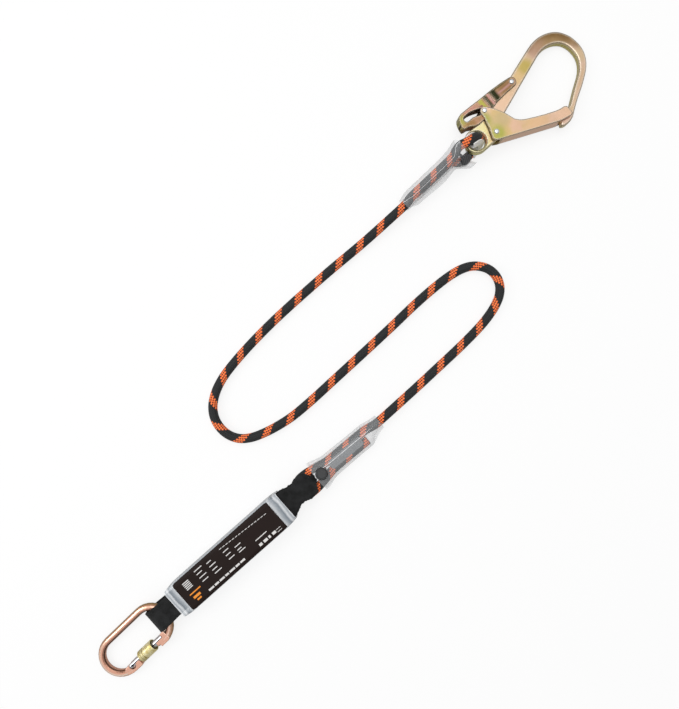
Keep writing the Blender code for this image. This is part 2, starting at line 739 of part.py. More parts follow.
def pack_of_folds(parent):
    """The tear webbing folded to and fro in layers, joined by its bends."""
    pitch = PACK_LAYER + PACK_LAYER_GAP
    total = PACK_LAYERS * pitch - PACK_LAYER_GAP
    low = COVER_HEIGHT / 2 - total / 2
    half = PACK_LENGTH / 2
    forward = []
    backward = []
    for layer in range(PACK_LAYERS):
        z = low + layer * pitch
        side = 1 if layer % 2 == 0 else -1
        near, far = -half * side, half * side
        if layer == 0:
            forward.append((near, z))
            backward.append((near, z + PACK_LAYER))
        last = layer == PACK_LAYERS - 1
        bend_mid = z + PACK_LAYER + PACK_LAYER_GAP / 2
        if last:
            forward.append((far, z + PACK_LAYER if side < 0 else z))
            backward.append((far, z if side < 0 else z + PACK_LAYER))
            continue
        outer_r = PACK_LAYER + PACK_LAYER_GAP / 2
        inner_r = PACK_LAYER_GAP / 2
        turn_x = far - side * outer_r
        for i in range(7):
            angle = math.radians(-90 + 180 * i / 6)
            out = (turn_x + side * outer_r * math.cos(angle), bend_mid + outer_r * math.sin(angle))
            inn = (turn_x + side * inner_r * math.cos(angle), bend_mid + inner_r * math.sin(angle))
            (forward if side > 0 else backward).append(out)
            (backward if side > 0 else forward).append(inn)
    outline = forward + list(reversed(backward))
    rings = []
    for y in (-PACK_WIDTH / 2, PACK_WIDTH / 2):
        rings.append([(x, y, z) for x, z in outline])
    loft("absorber_pack", rings, "webbing", parent)


def strap_along(name, stations, finish, parent):
    """A closed band through (x, z, width, thickness) stations that form a loop in X and Z."""
    rings = []
    count = len(stations)
    for i, (x, z, width, thickness) in enumerate(stations):
        ahead = Vector((stations[(i + 1) % count][0] - stations[i - 1][0],
                        stations[(i + 1) % count][1] - stations[i - 1][1]))
        ahead.normalize()
        out = Vector((ahead.y, -ahead.x))
        edge = min(thickness * 0.35, 0.0008)
        half, thick = width / 2, thickness / 2
        section = [(half - edge, thick), (half, thick - edge), (half, -thick + edge), (half - edge, -thick),
                   (-half + edge, -thick), (-half, -thick + edge), (-half, thick - edge), (-half + edge, thick)]
        rings.append([(x + out.x * n, y, z + out.y * n) for y, n in section])
    return loft(name, rings, finish, parent, closed_ring=True, smooth=50.0)


def karabiner_loop_stations():
    """The karabiner's webbing loop: round the fold, into the pack, and across inside it."""
    mid = LOOP_CLEAR_R + WEBBING_THICKNESS / 2
    fold_x = LOOP_FOLD_X + WEBBING_THICKNESS / 2 + mid
    inner_x = -PACK_LENGTH / 2 - 0.0035
    axis_z = swing_height()
    stations = []
    for x, z in arc((fold_x, axis_z), mid, 90, 270, 14):
        stations.append((x, z, KARABINER_WEBBING_WIDTH, WEBBING_THICKNESS))
    centre_z = COVER_HEIGHT / 2
    low_z = min(axis_z - mid, centre_z)
    for part in (0.35, 0.7, 1.0):
        x = fold_x + (inner_x - fold_x) * part
        z = low_z + (centre_z - mid * 0.75 - low_z) * smoothstep(part, 0.3, 1.0)
        stations.append((x, z, KARABINER_WEBBING_WIDTH, WEBBING_THICKNESS))
    stations.append((inner_x + 0.0012, centre_z, KARABINER_WEBBING_WIDTH, WEBBING_THICKNESS))
    for part in (1.0, 0.7, 0.35):
        x = fold_x + (inner_x - fold_x) * part
        high_z = axis_z + mid
        z = high_z + (centre_z + mid * 0.75 - high_z) * smoothstep(part, 0.3, 1.0)
        stations.append((x, z, KARABINER_WEBBING_WIDTH, WEBBING_THICKNESS))
    return stations


def rope_loop_stations(bight_x, rope_z, neck_x):
    """The rope-end webbing loop: over the bight, bunched down through the eye, and back under it."""
    thick = WEBBING_THICKNESS
    over = rope_z + ROPE_D / 2 + GAP + thick / 2
    under = GAP + thick / 2 + 0.0003
    start = PACK_LENGTH / 2 + 0.0035
    middle = COVER_HEIGHT / 2
    wide = ROPE_WEBBING_WIDTH
    neck = ROPE_WEBBING_NECK
    return [
        (start, middle + 0.0062, wide, thick),
        (start + 0.012, middle + 0.0060, wide, thick),
        (start + 0.024, over - 0.0006, wide * 0.78, thick),
        (bight_x - 0.004, over, wide * 0.70, thick),
        (bight_x + 0.006, over, wide * 0.88, thick),
        (neck_x - 0.0066, over + 0.0003, wide * 0.86, thick),
        (neck_x - 0.0034, over + 0.0002, wide * 0.62, thick * 1.1),
        (neck_x - 0.0011, over - 0.0010, wide * 0.36, thick * 1.3),
        (neck_x, over - 0.0038, neck, thick * 1.6),
        (neck_x, rope_z, neck, thick * 1.7),
        (neck_x - 0.0002, rope_z - 0.0040, neck, thick * 1.5),
        (neck_x - 0.0030, under + 0.0010, wide * 0.36, thick * 1.1),
        (neck_x - 0.0078, under, wide * 0.6, thick),
        (bight_x + 0.004, under, wide * 0.66, thick),
        (bight_x - 0.004, under, wide * 0.68, thick),
        (start + 0.024, under + 0.0006, wide * 0.78, thick),
        (start + 0.012, middle - 0.0064, wide, thick),
        (start, middle - 0.0062, wide, thick),
        (start - 0.0016, middle, wide, thick),
    ]


def webbing_loops(parent, absorber_frame):
    """Both webbing loops of the pack."""
    strap_along("webbing_loop_karabiner", karabiner_loop_stations(), "webbing", parent)
    eye = ABSORBER_EYE
    apex = absorber_frame @ eye_point(eye, eye["bight_x"] + eye["bight_r"], 0.0, 0.0)
    neck = absorber_frame @ eye_point(eye, NECK_FROM_SNAP, 0.0, 0.0)
    loop = strap_along("webbing_loop_rope", rope_loop_stations(apex.x, apex.z, neck.x), "webbing", parent)
    for vertex in loop.data.vertices:
        vertex.co.y += apex.y * smoothstep(vertex.co.x, PACK_LENGTH / 2 + 0.015, apex.x)


def swing_height():
    """Height of the karabiner's swing axis, at the middle of its webbing loop."""
    return LOOP_CLEAR_R + WEBBING_THICKNESS + GAP / 2


def karabiner_frame():
    """The karabiner's frame: its far end on the floor and its near end in the webbing loop."""
    apex = OVAL_HALF_STRAIGHT + OVAL_BEND_R
    axis_x = apex - SWING_INSET
    far_height = ROD_D / 2 + KARABINER_LIFT
    slope = math.asin((swing_height() - far_height) / (axis_x + apex))
    turn = Matrix.Rotation(math.radians(KARABINER_HEADING), 4, "Z") @ Matrix.Rotation(-slope, 4, "Y")
    height = far_height + apex * math.sin(slope)
    return Matrix.Translation((KARABINER_CENTRE_X, KARABINER_CENTRE_Y, height)) @ turn


def oval_route():
    """Centreline of the rod from the hinge round the spine to the nose."""
    half, bend = OVAL_HALF_STRAIGHT, OVAL_BEND_R
    points = [(-half + 0.0005, -bend)]
    points += arc((-half, 0.0), bend, 270, 90, 16)
    points += arc((half, 0.0), bend, 90, -90, 16)
    return [(x, y, 0.0) for x, y in points]


def along_x(x, y):
    """Turn a Z-turned piece to lie along X through a point of the karabiner's plane."""
    return Matrix.Translation((x, y, 0.0)) @ Matrix.Rotation(math.radians(90), 4, "Y")


def karabiner_body(parent):
    """The bent rod with its hinge end, nose lip and channel for the gate."""
    body = tube_along("karabiner_body", oval_route(), ROD_D / 2, "copper_zinc", parent, sides=16)
    half = ROD_D / 2 - 0.0001
    outer_y = -OVAL_BEND_R - half * 0.98
    top_y = KARABINER_GATE_Y + 0.0029
    pin_x = KARABINER_HINGE_X
    jaw = [(pin_x - 0.0125, outer_y + 0.0030), (pin_x - 0.0060, outer_y + 0.0004), (pin_x, outer_y),
           (HINGE_LIP_END_X - 0.0010, outer_y), (HINGE_LIP_END_X, outer_y + 0.0008),
           (HINGE_LIP_END_X, KARABINER_GATE_Y), (pin_x - 0.0030, KARABINER_GATE_Y),
           (pin_x - 0.0030, top_y), (pin_x - 0.0100, top_y), (pin_x - 0.0125, top_y - 0.0015)]
    boolean(body, plate("hinge_jaw", jaw, -half, half, 0.0008), "UNION")
    lip_x = NOSE_END_X - NOSE_LIP
    nose = [(lip_x, outer_y + 0.0006), (lip_x + 0.0006, outer_y), (NOSE_END_X, outer_y),
            (NOSE_END_X + 0.0030, outer_y + 0.0020), (NOSE_END_X + 0.0020, KARABINER_GATE_Y + 0.0048),
            (KARABINER_GATE_END_X + GAP * 1.5, KARABINER_GATE_Y + 0.0048),
            (KARABINER_GATE_END_X + GAP * 1.5, KARABINER_GATE_Y), (lip_x, KARABINER_GATE_Y)]
    boolean(body, plate("nose_jaw", nose, -half, half, 0.0006), "UNION")
    channel_r = KARABINER_GATE_D / 2 + GAP
    well = rod("hinge_well", channel_r, -0.01, 0.01, Matrix.Translation((pin_x, KARABINER_GATE_Y, 0.0)))
    boolean(body, well)
    reach = KARABINER_GATE_END_X + GAP * 1.5 - pin_x
    channel = rod("gate_channel", channel_r, 0.0, reach, along_x(pin_x, KARABINER_GATE_Y))
    boolean(body, channel)
    turned_r = SCREW_SLEEVE_D / 2 - SCREW_SLEEVE_WALL - GAP
    turn_end = SCREW_SLEEVE_START_X + SCREW_SLEEVE_LENGTH + SCREW_SLEEVE_TRAVEL + GAP
    ring = [(turned_r, 0.0), (0.012, 0.0), (0.012, turn_end - lip_x + 0.001), (turned_r, turn_end - lip_x + 0.001)]
    boolean(body, turned("lip_turning", ring, matrix=along_x(lip_x - 0.001, KARABINER_GATE_Y)))
    tang = arc((pin_x, KARABINER_GATE_Y), TANG_R, -90, 90, 10)
    tang += [(pin_x - 0.0085, KARABINER_GATE_Y + 0.0024), (pin_x - 0.0085, KARABINER_GATE_Y - TANG_R)]
    boolean(body, plate("hinge_tang", tang, -TANG_THICKNESS / 2, TANG_THICKNESS / 2), "UNION")
    hole = rod("hinge_hole", HINGE_PIN_R + GAP / 2, -0.01, 0.01, Matrix.Translation((pin_x, KARABINER_GATE_Y, 0.0)))
    boolean(body, hole)
    return body


def karabiner_gate(parent):
    """The gate: a round bar with a forked hinge end and a bore for its plunger."""
    radius = KARABINER_GATE_D / 2
    length = KARABINER_GATE_END_X - KARABINER_HINGE_X
    chamfer = 0.0006
    bar = [(0.0, -radius), (radius, -radius), (radius, length - chamfer), (radius - chamfer, length), (0.0, length)]
    gate = turned("karabiner_gate", bar, "steel", parent, Matrix.Rotation(math.radians(90), 4, "Y"))
    room = 0.01
    keep = arc((0.0, 0.0), radius, 100, 260, 12) + [(0.0004, -room), (length + 0.001, -room),
                                                    (length + 0.001, room), (0.0004, room)]
    boolean(gate, plate("gate_round", keep, -room, room), "INTERSECT")
    slot = TANG_THICKNESS / 2 + GAP
    floor = TANG_R + GAP * 1.5
    fork = [(-0.01, -0.01), (floor, -0.01), (floor, 0.01), (-0.01, 0.01)]
    boolean(gate, plate("gate_fork_slot", fork, -slot, slot))
    bore_depth = PLUNGER_LENGTH + 0.0085
    boolean(gate, rod("gate_bore", PLUNGER_R + GAP, floor - 0.0005, floor + bore_depth,
                      Matrix.Rotation(math.radians(90), 4, "Y"), sides=16))
    boolean(gate, rod("gate_pin_hole", HINGE_PIN_R + GAP / 2, -0.01, 0.01))
    plunger_start = floor - GAP
    nose = [(0.0, plunger_start), (PLUNGER_R * 0.6, plunger_start), (PLUNGER_R, plunger_start + 0.0006),
            (PLUNGER_R, plunger_start + PLUNGER_LENGTH), (0.0, plunger_start + PLUNGER_LENGTH)]
    turned("gate_plunger", nose, "steel", parent, Matrix.Rotation(math.radians(90), 4, "Y"), sides=16)
    coil_start = plunger_start + PLUNGER_LENGTH + GAP + GATE_COIL_WIRE_R
    coil_length = floor + bore_depth - GAP - 2 * GATE_COIL_WIRE_R - coil_start
    coil_r = PLUNGER_R - GATE_COIL_WIRE_R
    points = []
    for i in range(GATE_COIL_TURNS * 9 + 1):
        turn = 2 * math.pi * i / 9
        points.append((coil_start + coil_length * i / (GATE_COIL_TURNS * 9),
                       coil_r * math.cos(turn), coil_r * math.sin(turn)))
    tube_along("karabiner_gate_spring", points, GATE_COIL_WIRE_R, "spring_steel", parent, sides=6)
    return gate


def hinge_pin(parent):
    """The pin that the karabiner's gate turns on."""
    reach = math.sqrt((KARABINER_GATE_D / 2) ** 2 - HINGE_PIN_R ** 2) - 0.0001
    pin = rod("karabiner_hinge_pin", HINGE_PIN_R, -reach, reach,
              Matrix.Translation((KARABINER_HINGE_X, KARABINER_GATE_Y, 0.0)), "steel", parent)
    return pin


def screw_sleeve(parent):
    """The locking sleeve: chamfered, with a grip band, counterbored at its nose end."""
    outer = SCREW_SLEEVE_D / 2
    bore = KARABINER_GATE_D / 2 + GAP
    wide = outer - SCREW_SLEEVE_WALL
    length = SCREW_SLEEVE_LENGTH
    counter = length - SCREW_SLEEVE_TRAVEL - 0.001
    profile = [(bore, 0.0), (outer - 0.0018, 0.0), (outer, 0.0018), (outer, length * 0.36),
               (outer - 0.0006, length * 0.39), (outer - 0.0006, length * 0.43), (outer, length * 0.46),
               (outer, length - 0.0008), (outer - 0.0006, length), (wide, length), (wide, counter), (bore, counter)]
    sleeve_obj = turned("screw_sleeve", list(reversed(profile)), "sleeve_brass", parent,
                        Matrix.Rotation(math.radians(90), 4, "Y"), sides=32)
    return sleeve_obj


def karabiner(parent):
    """The karabiner on its swing axis, with gate and sleeve on their own axes."""
    frame = karabiner_frame()
    axis_x = OVAL_HALF_STRAIGHT + OVAL_BEND_R - SWING_INSET
    swing = empty("karabiner_swing_axis", frame @ Matrix.Translation((axis_x, 0.0, 0.0)), parent)
    base = empty("karabiner_base", Matrix.Translation((-axis_x, 0.0, 0.0)), swing)
    karabiner_body(base)
    hinge_pin(base)
    hinge = empty("karabiner_gate_axis", Matrix.Translation((KARABINER_HINGE_X, KARABINER_GATE_Y, 0.0)), base)
    karabiner_gate(hinge)
    slide = empty("screw_sleeve_axis", Matrix.Translation((SCREW_SLEEVE_START_X - KARABINER_HINGE_X, 0.0, 0.0)), hinge)
    screw_sleeve(slide)


def hook_outline():
    """The hook's plate: eye, boss, straight spine, round crown and beaked tip."""
    rim = EYE_HOLE_R + EYE_RIM
    outline = arc((0.0, 0.0), rim, 86, 262, 16)
    outline += arc(GATE_PIVOT, 0.0074, 262, 335, 5)
    inner = mm([(34.0, -8.0), (40.0, -4.6), (49.5, -2.2), (67.0, 1.4), (87.3, 5.7), (107.7, 10.0), (125.4, 13.6),
                (137.5, 15.9), (147.2, 15.8), (154.6, 13.7), (161.8, 9.6), (167.3, 3.8), (170.0, -3.4),
                (170.4, -11.2), (168.3, -20.8), (163.2, -28.7), (155.6, -35.2), (146.5, -39.9),
                (135.1, -45.0), (125.6, -49.8), (115.2, -55.0)])
    outline += flat_curve(inner, 2)
    outline += mm([(108.0, -55.4), (98.0, -56.2), (92.0, -59.2), (88.4, -62.4)])
    outline += mm([(87.4, -64.6), (89.6, -66.9), (93.2, -68.2), (99.5, -68.8), (106.0, -67.6)])
    outer = mm([(111.9, -64.6), (121.3, -59.9), (132.7, -55.0), (143.1, -50.9), (152.6, -46.4), (162.2, -41.4),
                (170.4, -35.2), (177.2, -26.8), (181.2, -17.0), (182.3, -7.7), (181.8, 1.6), (179.1, 9.9),
                (174.9, 17.3), (169.0, 23.1), (160.9, 27.8), (151.4, 30.7), (142.1, 31.4), (133.5, 30.6),
                (114.2, 27.2), (99.3, 24.5), (89.6, 22.6)])
    outline += flat_curve(outer, 2)
    outline += mm([(70.0, 18.7), (50.0, 14.8), (35.0, 12.2), (20.0, 12.4), (8.0, 14.2)])
    return outline


def hook_body(parent):
    """The forged plate with its rope eye and the holes of its two rivets."""
    half = HOOK_PLATE / 2
    body = plate("hook_body", hook_outline(), -half, half, HOOK_EDGE, "gold_zinc", parent)
    flare = EYE_FLARE
    eye = [(0.0, -half - 0.001), (EYE_HOLE_R + flare, -half - 0.001), (EYE_HOLE_R + flare, -half),
           (EYE_HOLE_R, -half + flare), (EYE_HOLE_R, half - flare), (EYE_HOLE_R + flare, half),
           (EYE_HOLE_R + flare, half + 0.001), (0.0, half + 0.001)]
    boolean(body, turned("eye_hole", eye, sides=32))
    for name, place in (("gate_rivet_hole", GATE_PIVOT), ("lever_rivet_hole", LEVER_PIVOT)):
        boolean(body, rod(name, RIVET_R + GAP, -0.01, 0.01, Matrix.Translation((*place, 0.0)), sides=16))
    return body


def lever_layers():
    """Inner and outer half heights of the lever's two flanges."""
    inner = HOOK_PLATE / 2 + BODY_PLAY
    return inner, inner + LEVER_SHEET


def gate_layers():
    """Inner and outer half heights of the gate's two flanges."""
    inner = lever_layers()[1] + GAP
    return inner, inner + GATE_SHEET


def hook_gate_outline():
    """The gate's flange seen from above."""
    head = mm([(14.0, -11.7), (20.5, -0.4), (26.2, 13.6)])
    corner = arc(LOCK_PIN, 0.0052, 170, 20, 6)
    back = flat_curve(mm([(39.8, 15.8), (42.7, 11.0), (45.5, 4.3), (47.8, -2.0), (49.2, -9.1), (50.6, -16.0),
                          (54.1, -21.3), (58.6, -25.4), (69.4, -32.7), (80.4, -39.5), (91.9, -46.0)]), 1)
    nose = mm([(97.0, -48.4), (101.0, -49.6), (105.0, -50.6), (107.4, -52.8), (107.6, -56.0), (107.1, -60.5),
               (106.0, -64.0), (103.6, -64.9), (100.4, -63.9), (94.0, -61.9), (87.6, -59.4)])
    heel = mm([(23.3, -22.4), (19.6, -20.4), (15.4, -17.4), (13.6, -14.6)])
    outline = head + corner + back + nose + heel
    return list(reversed(outline))


def hook_gate(parent):
    """The folded channel of the gate: two flanges, a web on its outer side and a stop at its nose."""
    inner, outer = gate_layers()
    shift = Matrix.Translation((-GATE_PIVOT[0], -GATE_PIVOT[1], 0.0))
    gate = plate("hook_gate", hook_gate_outline(), -outer, outer, 0.0005, "gold_zinc", parent)
    start, end = mm([(21.0, -21.1), (88.6, -60.0)])
    along = (Vector(end) - Vector(start)).normalized()
    inward = Vector((-along.y, along.x)) * GATE_SHEET
    web_start = Vector(start) + inward
    web_end = Vector(end) + inward
    pocket = [(-0.005, -0.030), (web_start.x, -0.030), tuple(web_start), tuple(web_end), (web_end.x, -0.080)]
    pocket += mm([(125.0, -80.0), (125.0, -54.6), (96.0, -54.6), (96.0, -38.0), (60.0, -5.0), (60.0, 35.0), (-5.0, 35.0)])
    cutter = plate("gate_pocket", pocket, -inner, inner)
    hole = rod("gate_pivot_hole", RIVET_R + GAP, -0.02, 0.02, Matrix.Translation((*GATE_PIVOT, 0.0)), sides=16)
    pin_hole = rod("gate_lock_pin_hole", LOCK_PIN_R + GAP / 2, -0.02, 0.02, Matrix.Translation((*LOCK_PIN, 0.0)), sides=16)
    for piece in (cutter, hole, pin_hole):
        piece.data.transform(shift)
        boolean(gate, piece)
    gate.data.transform(shift)
    return gate


def pin_path_in_lever(extra=0.0):
    """Where the lock pin runs in the lever's frame while gate and lever turn together."""
    path = []
    steps = 6
    pivot = Vector(GATE_PIVOT)
    lever = Vector(LEVER_PIVOT)
    for i in range(steps + 1):
        angle = (GATE_RANGE + extra) * i / steps
        gate_turn = Matrix.Rotation(math.radians(angle), 2)
        lever_turn = Matrix.Rotation(math.radians(-angle * LEVER_RATIO), 2)
        pin = pivot + gate_turn @ (Vector(LOCK_PIN) - pivot)
        path.append(lever + lever_turn @ (pin - lever))
    return path


def slot_outline():
    """The curved slot in the lever's flanges, as wide as the pin with its play."""
    path = pin_path_in_lever()
    tail = path[-1] + Vector((-0.0070, 0.0012))
    path = [p + Vector((0.0, 0.0006)) for p in path] + [tail]
    half = SLOT_WIDTH / 2
    left = []
    right = []
    for i, here in enumerate(path):
        ahead = (path[min(i + 1, len(path) - 1)] - path[max(i - 1, 0)]).normalized()
        side = Vector((-ahead.y, ahead.x)) * half
        left.append(here + side)
        right.append(here - side)
    ahead = (path[-1] - path[-2]).normalized()
    turn = math.degrees(math.atan2(ahead.y, ahead.x))
    far_cap = arc(path[-1], half, turn - 90, turn + 90, 8)
    back = (path[0] - path[1]).normalized()
    turn = math.degrees(math.atan2(back.y, back.x))
    near_cap = arc(path[0], half, turn - 90, turn + 90, 8)
    outline = [tuple(p) for p in right[1:-1]] + far_cap + [tuple(p) for p in reversed(left[1:-1])] + near_cap
    return outline


def hook_lever(parent):
    """The folded safety lever: two flanges over the spine, a web on its back and the pin's slot."""
    inner, outer = lever_layers()
    shift = Matrix.Translation((-LEVER_PIVOT[0], -LEVER_PIVOT[1], 0.0))
    back = mm([(72.8, 26.7), (57.1, 29.6), (40.5, 31.9), (25.0, 34.5), (10.5, 36.5)])
    corner = mm([(6.2, 36.0), (3.0, 33.2), (0.4, 28.6), (-1.2, 24.4), (-1.8, 21.0), (0.6, 19.6), (4.4, 18.8)])
    belly = mm([(8.4, 16.0), (11.6, 12.9), (17.0, 11.2), (25.4, 10.6), (43.6, 12.6), (54.5, 13.4), (67.6, 12.8)])
    tip = arc(LEVER_PIVOT, 0.0062, 260, 440, 10)
    outline = tip + back + corner + belly
    lever = plate("hook_lever", outline, -outer, outer, 0.0005, "gold_zinc", parent)
    for x0, x1 in ((52.4, 54.9), (43.6, 46.1)):
        rib = mm([(x0, 28.8), (x0 - 1.9, 14.6), (x1 - 1.9, 14.6), (x1, 28.8)])
        block = plate("lever_rib", rib, -outer - 0.0004, outer + 0.0004)
        block.data.transform(shift)
        boolean(lever, block, "UNION")
    web = LEVER_SHEET
    pocket = [(0.078, 0.040), (0.078, back[0][1] - web - 0.0016)]
    pocket += [(x, y - web) for x, y in back]
    pocket += [(0.0066, 0.0316), (0.0040, 0.0270), (-0.010, 0.0270), (-0.010, 0.0), (0.100, 0.0), (0.100, 0.040)]
    cutter = plate("lever_pocket", list(reversed(pocket)), -inner, inner)
    slot = plate("lever_slot", slot_outline(), -0.02, 0.02)
    hole = rod("lever_pivot_hole", RIVET_R + GAP, -0.02, 0.02, Matrix.Translation((*LEVER_PIVOT, 0.0)), sides=16)
    for piece in (cutter, slot, hole):
        piece.data.transform(shift)
        boolean(lever, piece)
    lever.data.transform(shift)
    return lever


def rivet(name, place, radius, head_seat, finish, parent):
    """A rivet with a domed head at each end, seated head_seat from the plate's middle."""
    head, rise = RIVET_HEAD_R, RIVET_HEAD_HEIGHT
    half = [(radius, head_seat), (head, head_seat), (head, head_seat + rise * 0.35),
            (head * 0.82, head_seat + rise * 0.8), (head * 0.4, head_seat + rise), (0.0, head_seat + rise)]
    profile = [(r, -z) for r, z in reversed(half)] + half
    return turned(name, profile, finish, parent, Matrix.Translation((*place, 0.0)), sides=20)


def gate_spring(parent):
    """The gate's torsion spring: a turn and a half round the rivet between two straight legs."""
    wire = GATE_SPRING_WIRE_R
    low = HOOK_PLATE / 2 + GAP + wire
    high = gate_layers()[0] - GAP - wire
    centre = Vector((*GATE_PIVOT, 0.0))
    first, last = math.radians(100), math.radians(500)
    steps = 22
    points = []
    for i in range(steps + 1):
        angle = first + (last - first) * i / steps
        points.append(centre + Vector((GATE_COIL_R * math.cos(angle), GATE_COIL_R * math.sin(angle),
                                       low + (high - low) * i / steps)))
    start_leg = Vector((math.sin(first), -math.cos(first), 0.0)) * GATE_SPRING_LEG
    end_leg = Vector((-math.sin(last), math.cos(last), 0.0)) * GATE_SPRING_LEG
    points.insert(0, points[0] + start_leg)
    points.append(points[-1] + end_leg)
    return tube_along("gate_spring", points, wire, "spring_steel", parent, sides=8)


def lever_spring(parent):
    """The lever's leaf spring, bent from the spine up to the lever's web."""
    half = LEVER_SPRING_WIDTH / 2
    thick = LEVER_SPRING_THICKNESS
    route = flat_curve(mm([(74.0, 20.0), (66.0, 18.6), (56.0, 18.1), (47.0, 20.4), (39.0, 23.1)]), 3)
    rings = []
    for i, here in enumerate(route):
        ahead = Vector(route[min(i + 1, len(route) - 1)]) - Vector(route[max(i - 1, 0)])
        ahead.normalize()
        side = Vector((ahead.y, -ahead.x)) * thick / 2
        x, y = here
        rings.append([(x + side.x, y + side.y, -half), (x + side.x, y + side.y, half),
                      (x - side.x, y - side.y, half), (x - side.x, y - side.y, -half)])
    return loft("lever_spring", rings, "spring_steel", parent)


def hook_frame():
    """The hook's frame: its eye in the thimble and the crown of its arc on the floor."""
    crown = 0.1823
    floor_height = HOOK_PLATE / 2 + GAP / 2
    rim_x = EYE_HOLE_R + EYE_RIM / 2 - HOOK_SWING_INSET
    rim_height = eased(HOOK_EYE["lift"], HOOK_EYE["bight_x"])
    slope = math.asin((rim_height - floor_height) / (crown + rim_x))
    height = floor_height + crown * math.sin(slope)
    turn = Matrix.Rotation(math.radians(HOOK_HEADING), 4, "Z") @ Matrix.Rotation(slope, 4, "Y")
    rope_eye = eye_frame(HOOK_EYE, ROPE_ROUTE[-1], MOUTH_HEADING_HOOK, False)
    bight = rope_eye @ eye_point(HOOK_EYE, HOOK_EYE["bight_x"], 0.0, 0.0)
    return Matrix.Translation((bight.x + HOOK_EYE_AHEAD, bight.y + HOOK_EYE_ASIDE, height)) @ turn


def thimble_axis(hook_turn):
    """A frame at the middle of the bight, with Y along the thimble's axis and X towards the hook."""
    frame = eye_frame(HOOK_EYE, ROPE_ROUTE[-1], MOUTH_HEADING_HOOK, False)
    centre = frame @ eye_point(HOOK_EYE, HOOK_EYE["bight_x"], 0.0, 0.0)
    y_axis = (frame @ eye_point(HOOK_EYE, HOOK_EYE["bight_x"], 0.0, -ROPE_D) - centre).normalized()
    forward = hook_turn.to_3x3().col[0]
    x_axis = (forward - y_axis * forward.dot(y_axis)).normalized()
    turn = Matrix((x_axis, y_axis, x_axis.cross(y_axis))).transposed()
    return Matrix.Translation(centre) @ turn.to_4x4()


def scaffold_hook(parent):
    """The hook swinging about the thimble, with gate and lever on their rivets."""
    frame = hook_frame()
    axis = thimble_axis(frame)
    swing = empty("hook_swing_axis", axis, parent)
    base = empty("hook_base", axis.inverted() @ frame, swing)
    hook_body(base)
    gate_seat = gate_layers()[1] + GAP
    lever_seat = lever_layers()[1] + GAP
    rivet("gate_rivet", GATE_PIVOT, RIVET_R, gate_seat, "steel", base)
    rivet("lever_rivet", LEVER_PIVOT, RIVET_R, lever_seat, "steel", base)
    gate_spring(base)
    lever_spring(base)
    gate_axis = empty("hook_gate_axis", Matrix.Translation((*GATE_PIVOT, 0.0)), base)
    hook_gate(gate_axis)
    pin_place = (LOCK_PIN[0] - GATE_PIVOT[0], LOCK_PIN[1] - GATE_PIVOT[1])
    rivet("lock_pin", pin_place, LOCK_PIN_R, gate_seat, "steel", gate_axis)
    lever_axis = empty("hook_lever_axis", Matrix.Translation((*LEVER_PIVOT, 0.0)), base)
    hook_lever(lever_axis)


def centre_on_origin(root):
    """Move the whole model so that its box, without the free rope, stands centred on the origin."""
    bpy.context.view_layer.update()
    low = [math.inf] * 3
    high = [-math.inf] * 3
    depsgraph = bpy.context.evaluated_depsgraph_get()
    for obj in bpy.context.scene.objects:
        if obj.type != "MESH" or obj.hide_render:
            continue
        evaluated = obj.evaluated_get(depsgraph)
        mesh = evaluated.to_mesh()
        for vertex in mesh.vertices:
            place = obj.matrix_world @ vertex.co
            for axis in range(3):
                low[axis] = min(low[axis], place[axis])
                high[axis] = max(high[axis], place[axis])
        evaluated.to_mesh_clear()
    root.location.x = -(low[0] + high[0]) / 2
    root.location.y = -(low[1] + high[1]) / 2
    root.location.z = -low[2]


def build():
    """Make the whole lanyard."""
    clear_scene()
    root = empty("lanyard_root", Matrix.Identity(4))
    rope(root)
    absorber_frame = sewn_end(ABSORBER_EYE, ROPE_ROUTE[0], MOUTH_HEADING_ABSORBER, True, root)
    sewn_end(HOOK_EYE, ROPE_ROUTE[-1], MOUTH_HEADING_HOOK, False, root)
    absorber(root)
    webbing_loops(root, absorber_frame)
    karabiner(root)
    scaffold_hook(root)
    centre_on_origin(root)


build()
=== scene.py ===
"""Looks of the energy-absorbing rope lanyard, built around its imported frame.

Every length is in metres, unless its name ends in mm. The layout frame has its origin at the
middle of the absorber's label on the floor, with X along the absorber towards the hook.
"""

import json
import logging
import math
from collections.abc import Callable
from dataclasses import dataclass
from enum import Enum

import bmesh
import bpy
from bpy.types import ID, Material, Mesh, NodeSocket, NodeTree, Object
from mathutils import Matrix, Vector

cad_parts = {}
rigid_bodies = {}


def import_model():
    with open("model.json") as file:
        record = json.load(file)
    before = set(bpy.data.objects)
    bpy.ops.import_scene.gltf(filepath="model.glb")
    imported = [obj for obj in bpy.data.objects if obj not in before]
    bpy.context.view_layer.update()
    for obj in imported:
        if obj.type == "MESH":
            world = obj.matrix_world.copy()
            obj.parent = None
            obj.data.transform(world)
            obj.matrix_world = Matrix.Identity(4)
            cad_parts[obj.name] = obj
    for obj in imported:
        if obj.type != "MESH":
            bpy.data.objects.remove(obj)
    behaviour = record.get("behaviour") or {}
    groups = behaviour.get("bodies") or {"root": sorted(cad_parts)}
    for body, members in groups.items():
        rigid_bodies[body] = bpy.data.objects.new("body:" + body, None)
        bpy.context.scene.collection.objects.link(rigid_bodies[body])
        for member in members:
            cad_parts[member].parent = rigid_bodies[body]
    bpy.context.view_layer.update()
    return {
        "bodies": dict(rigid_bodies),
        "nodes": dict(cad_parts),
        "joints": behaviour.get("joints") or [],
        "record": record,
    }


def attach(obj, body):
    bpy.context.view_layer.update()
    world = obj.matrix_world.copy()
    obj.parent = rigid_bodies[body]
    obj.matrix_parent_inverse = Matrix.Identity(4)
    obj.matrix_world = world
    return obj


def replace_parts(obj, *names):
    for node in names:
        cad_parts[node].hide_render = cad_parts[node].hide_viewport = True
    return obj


LOG = logging.getLogger("lanyard")
MM = 0.001
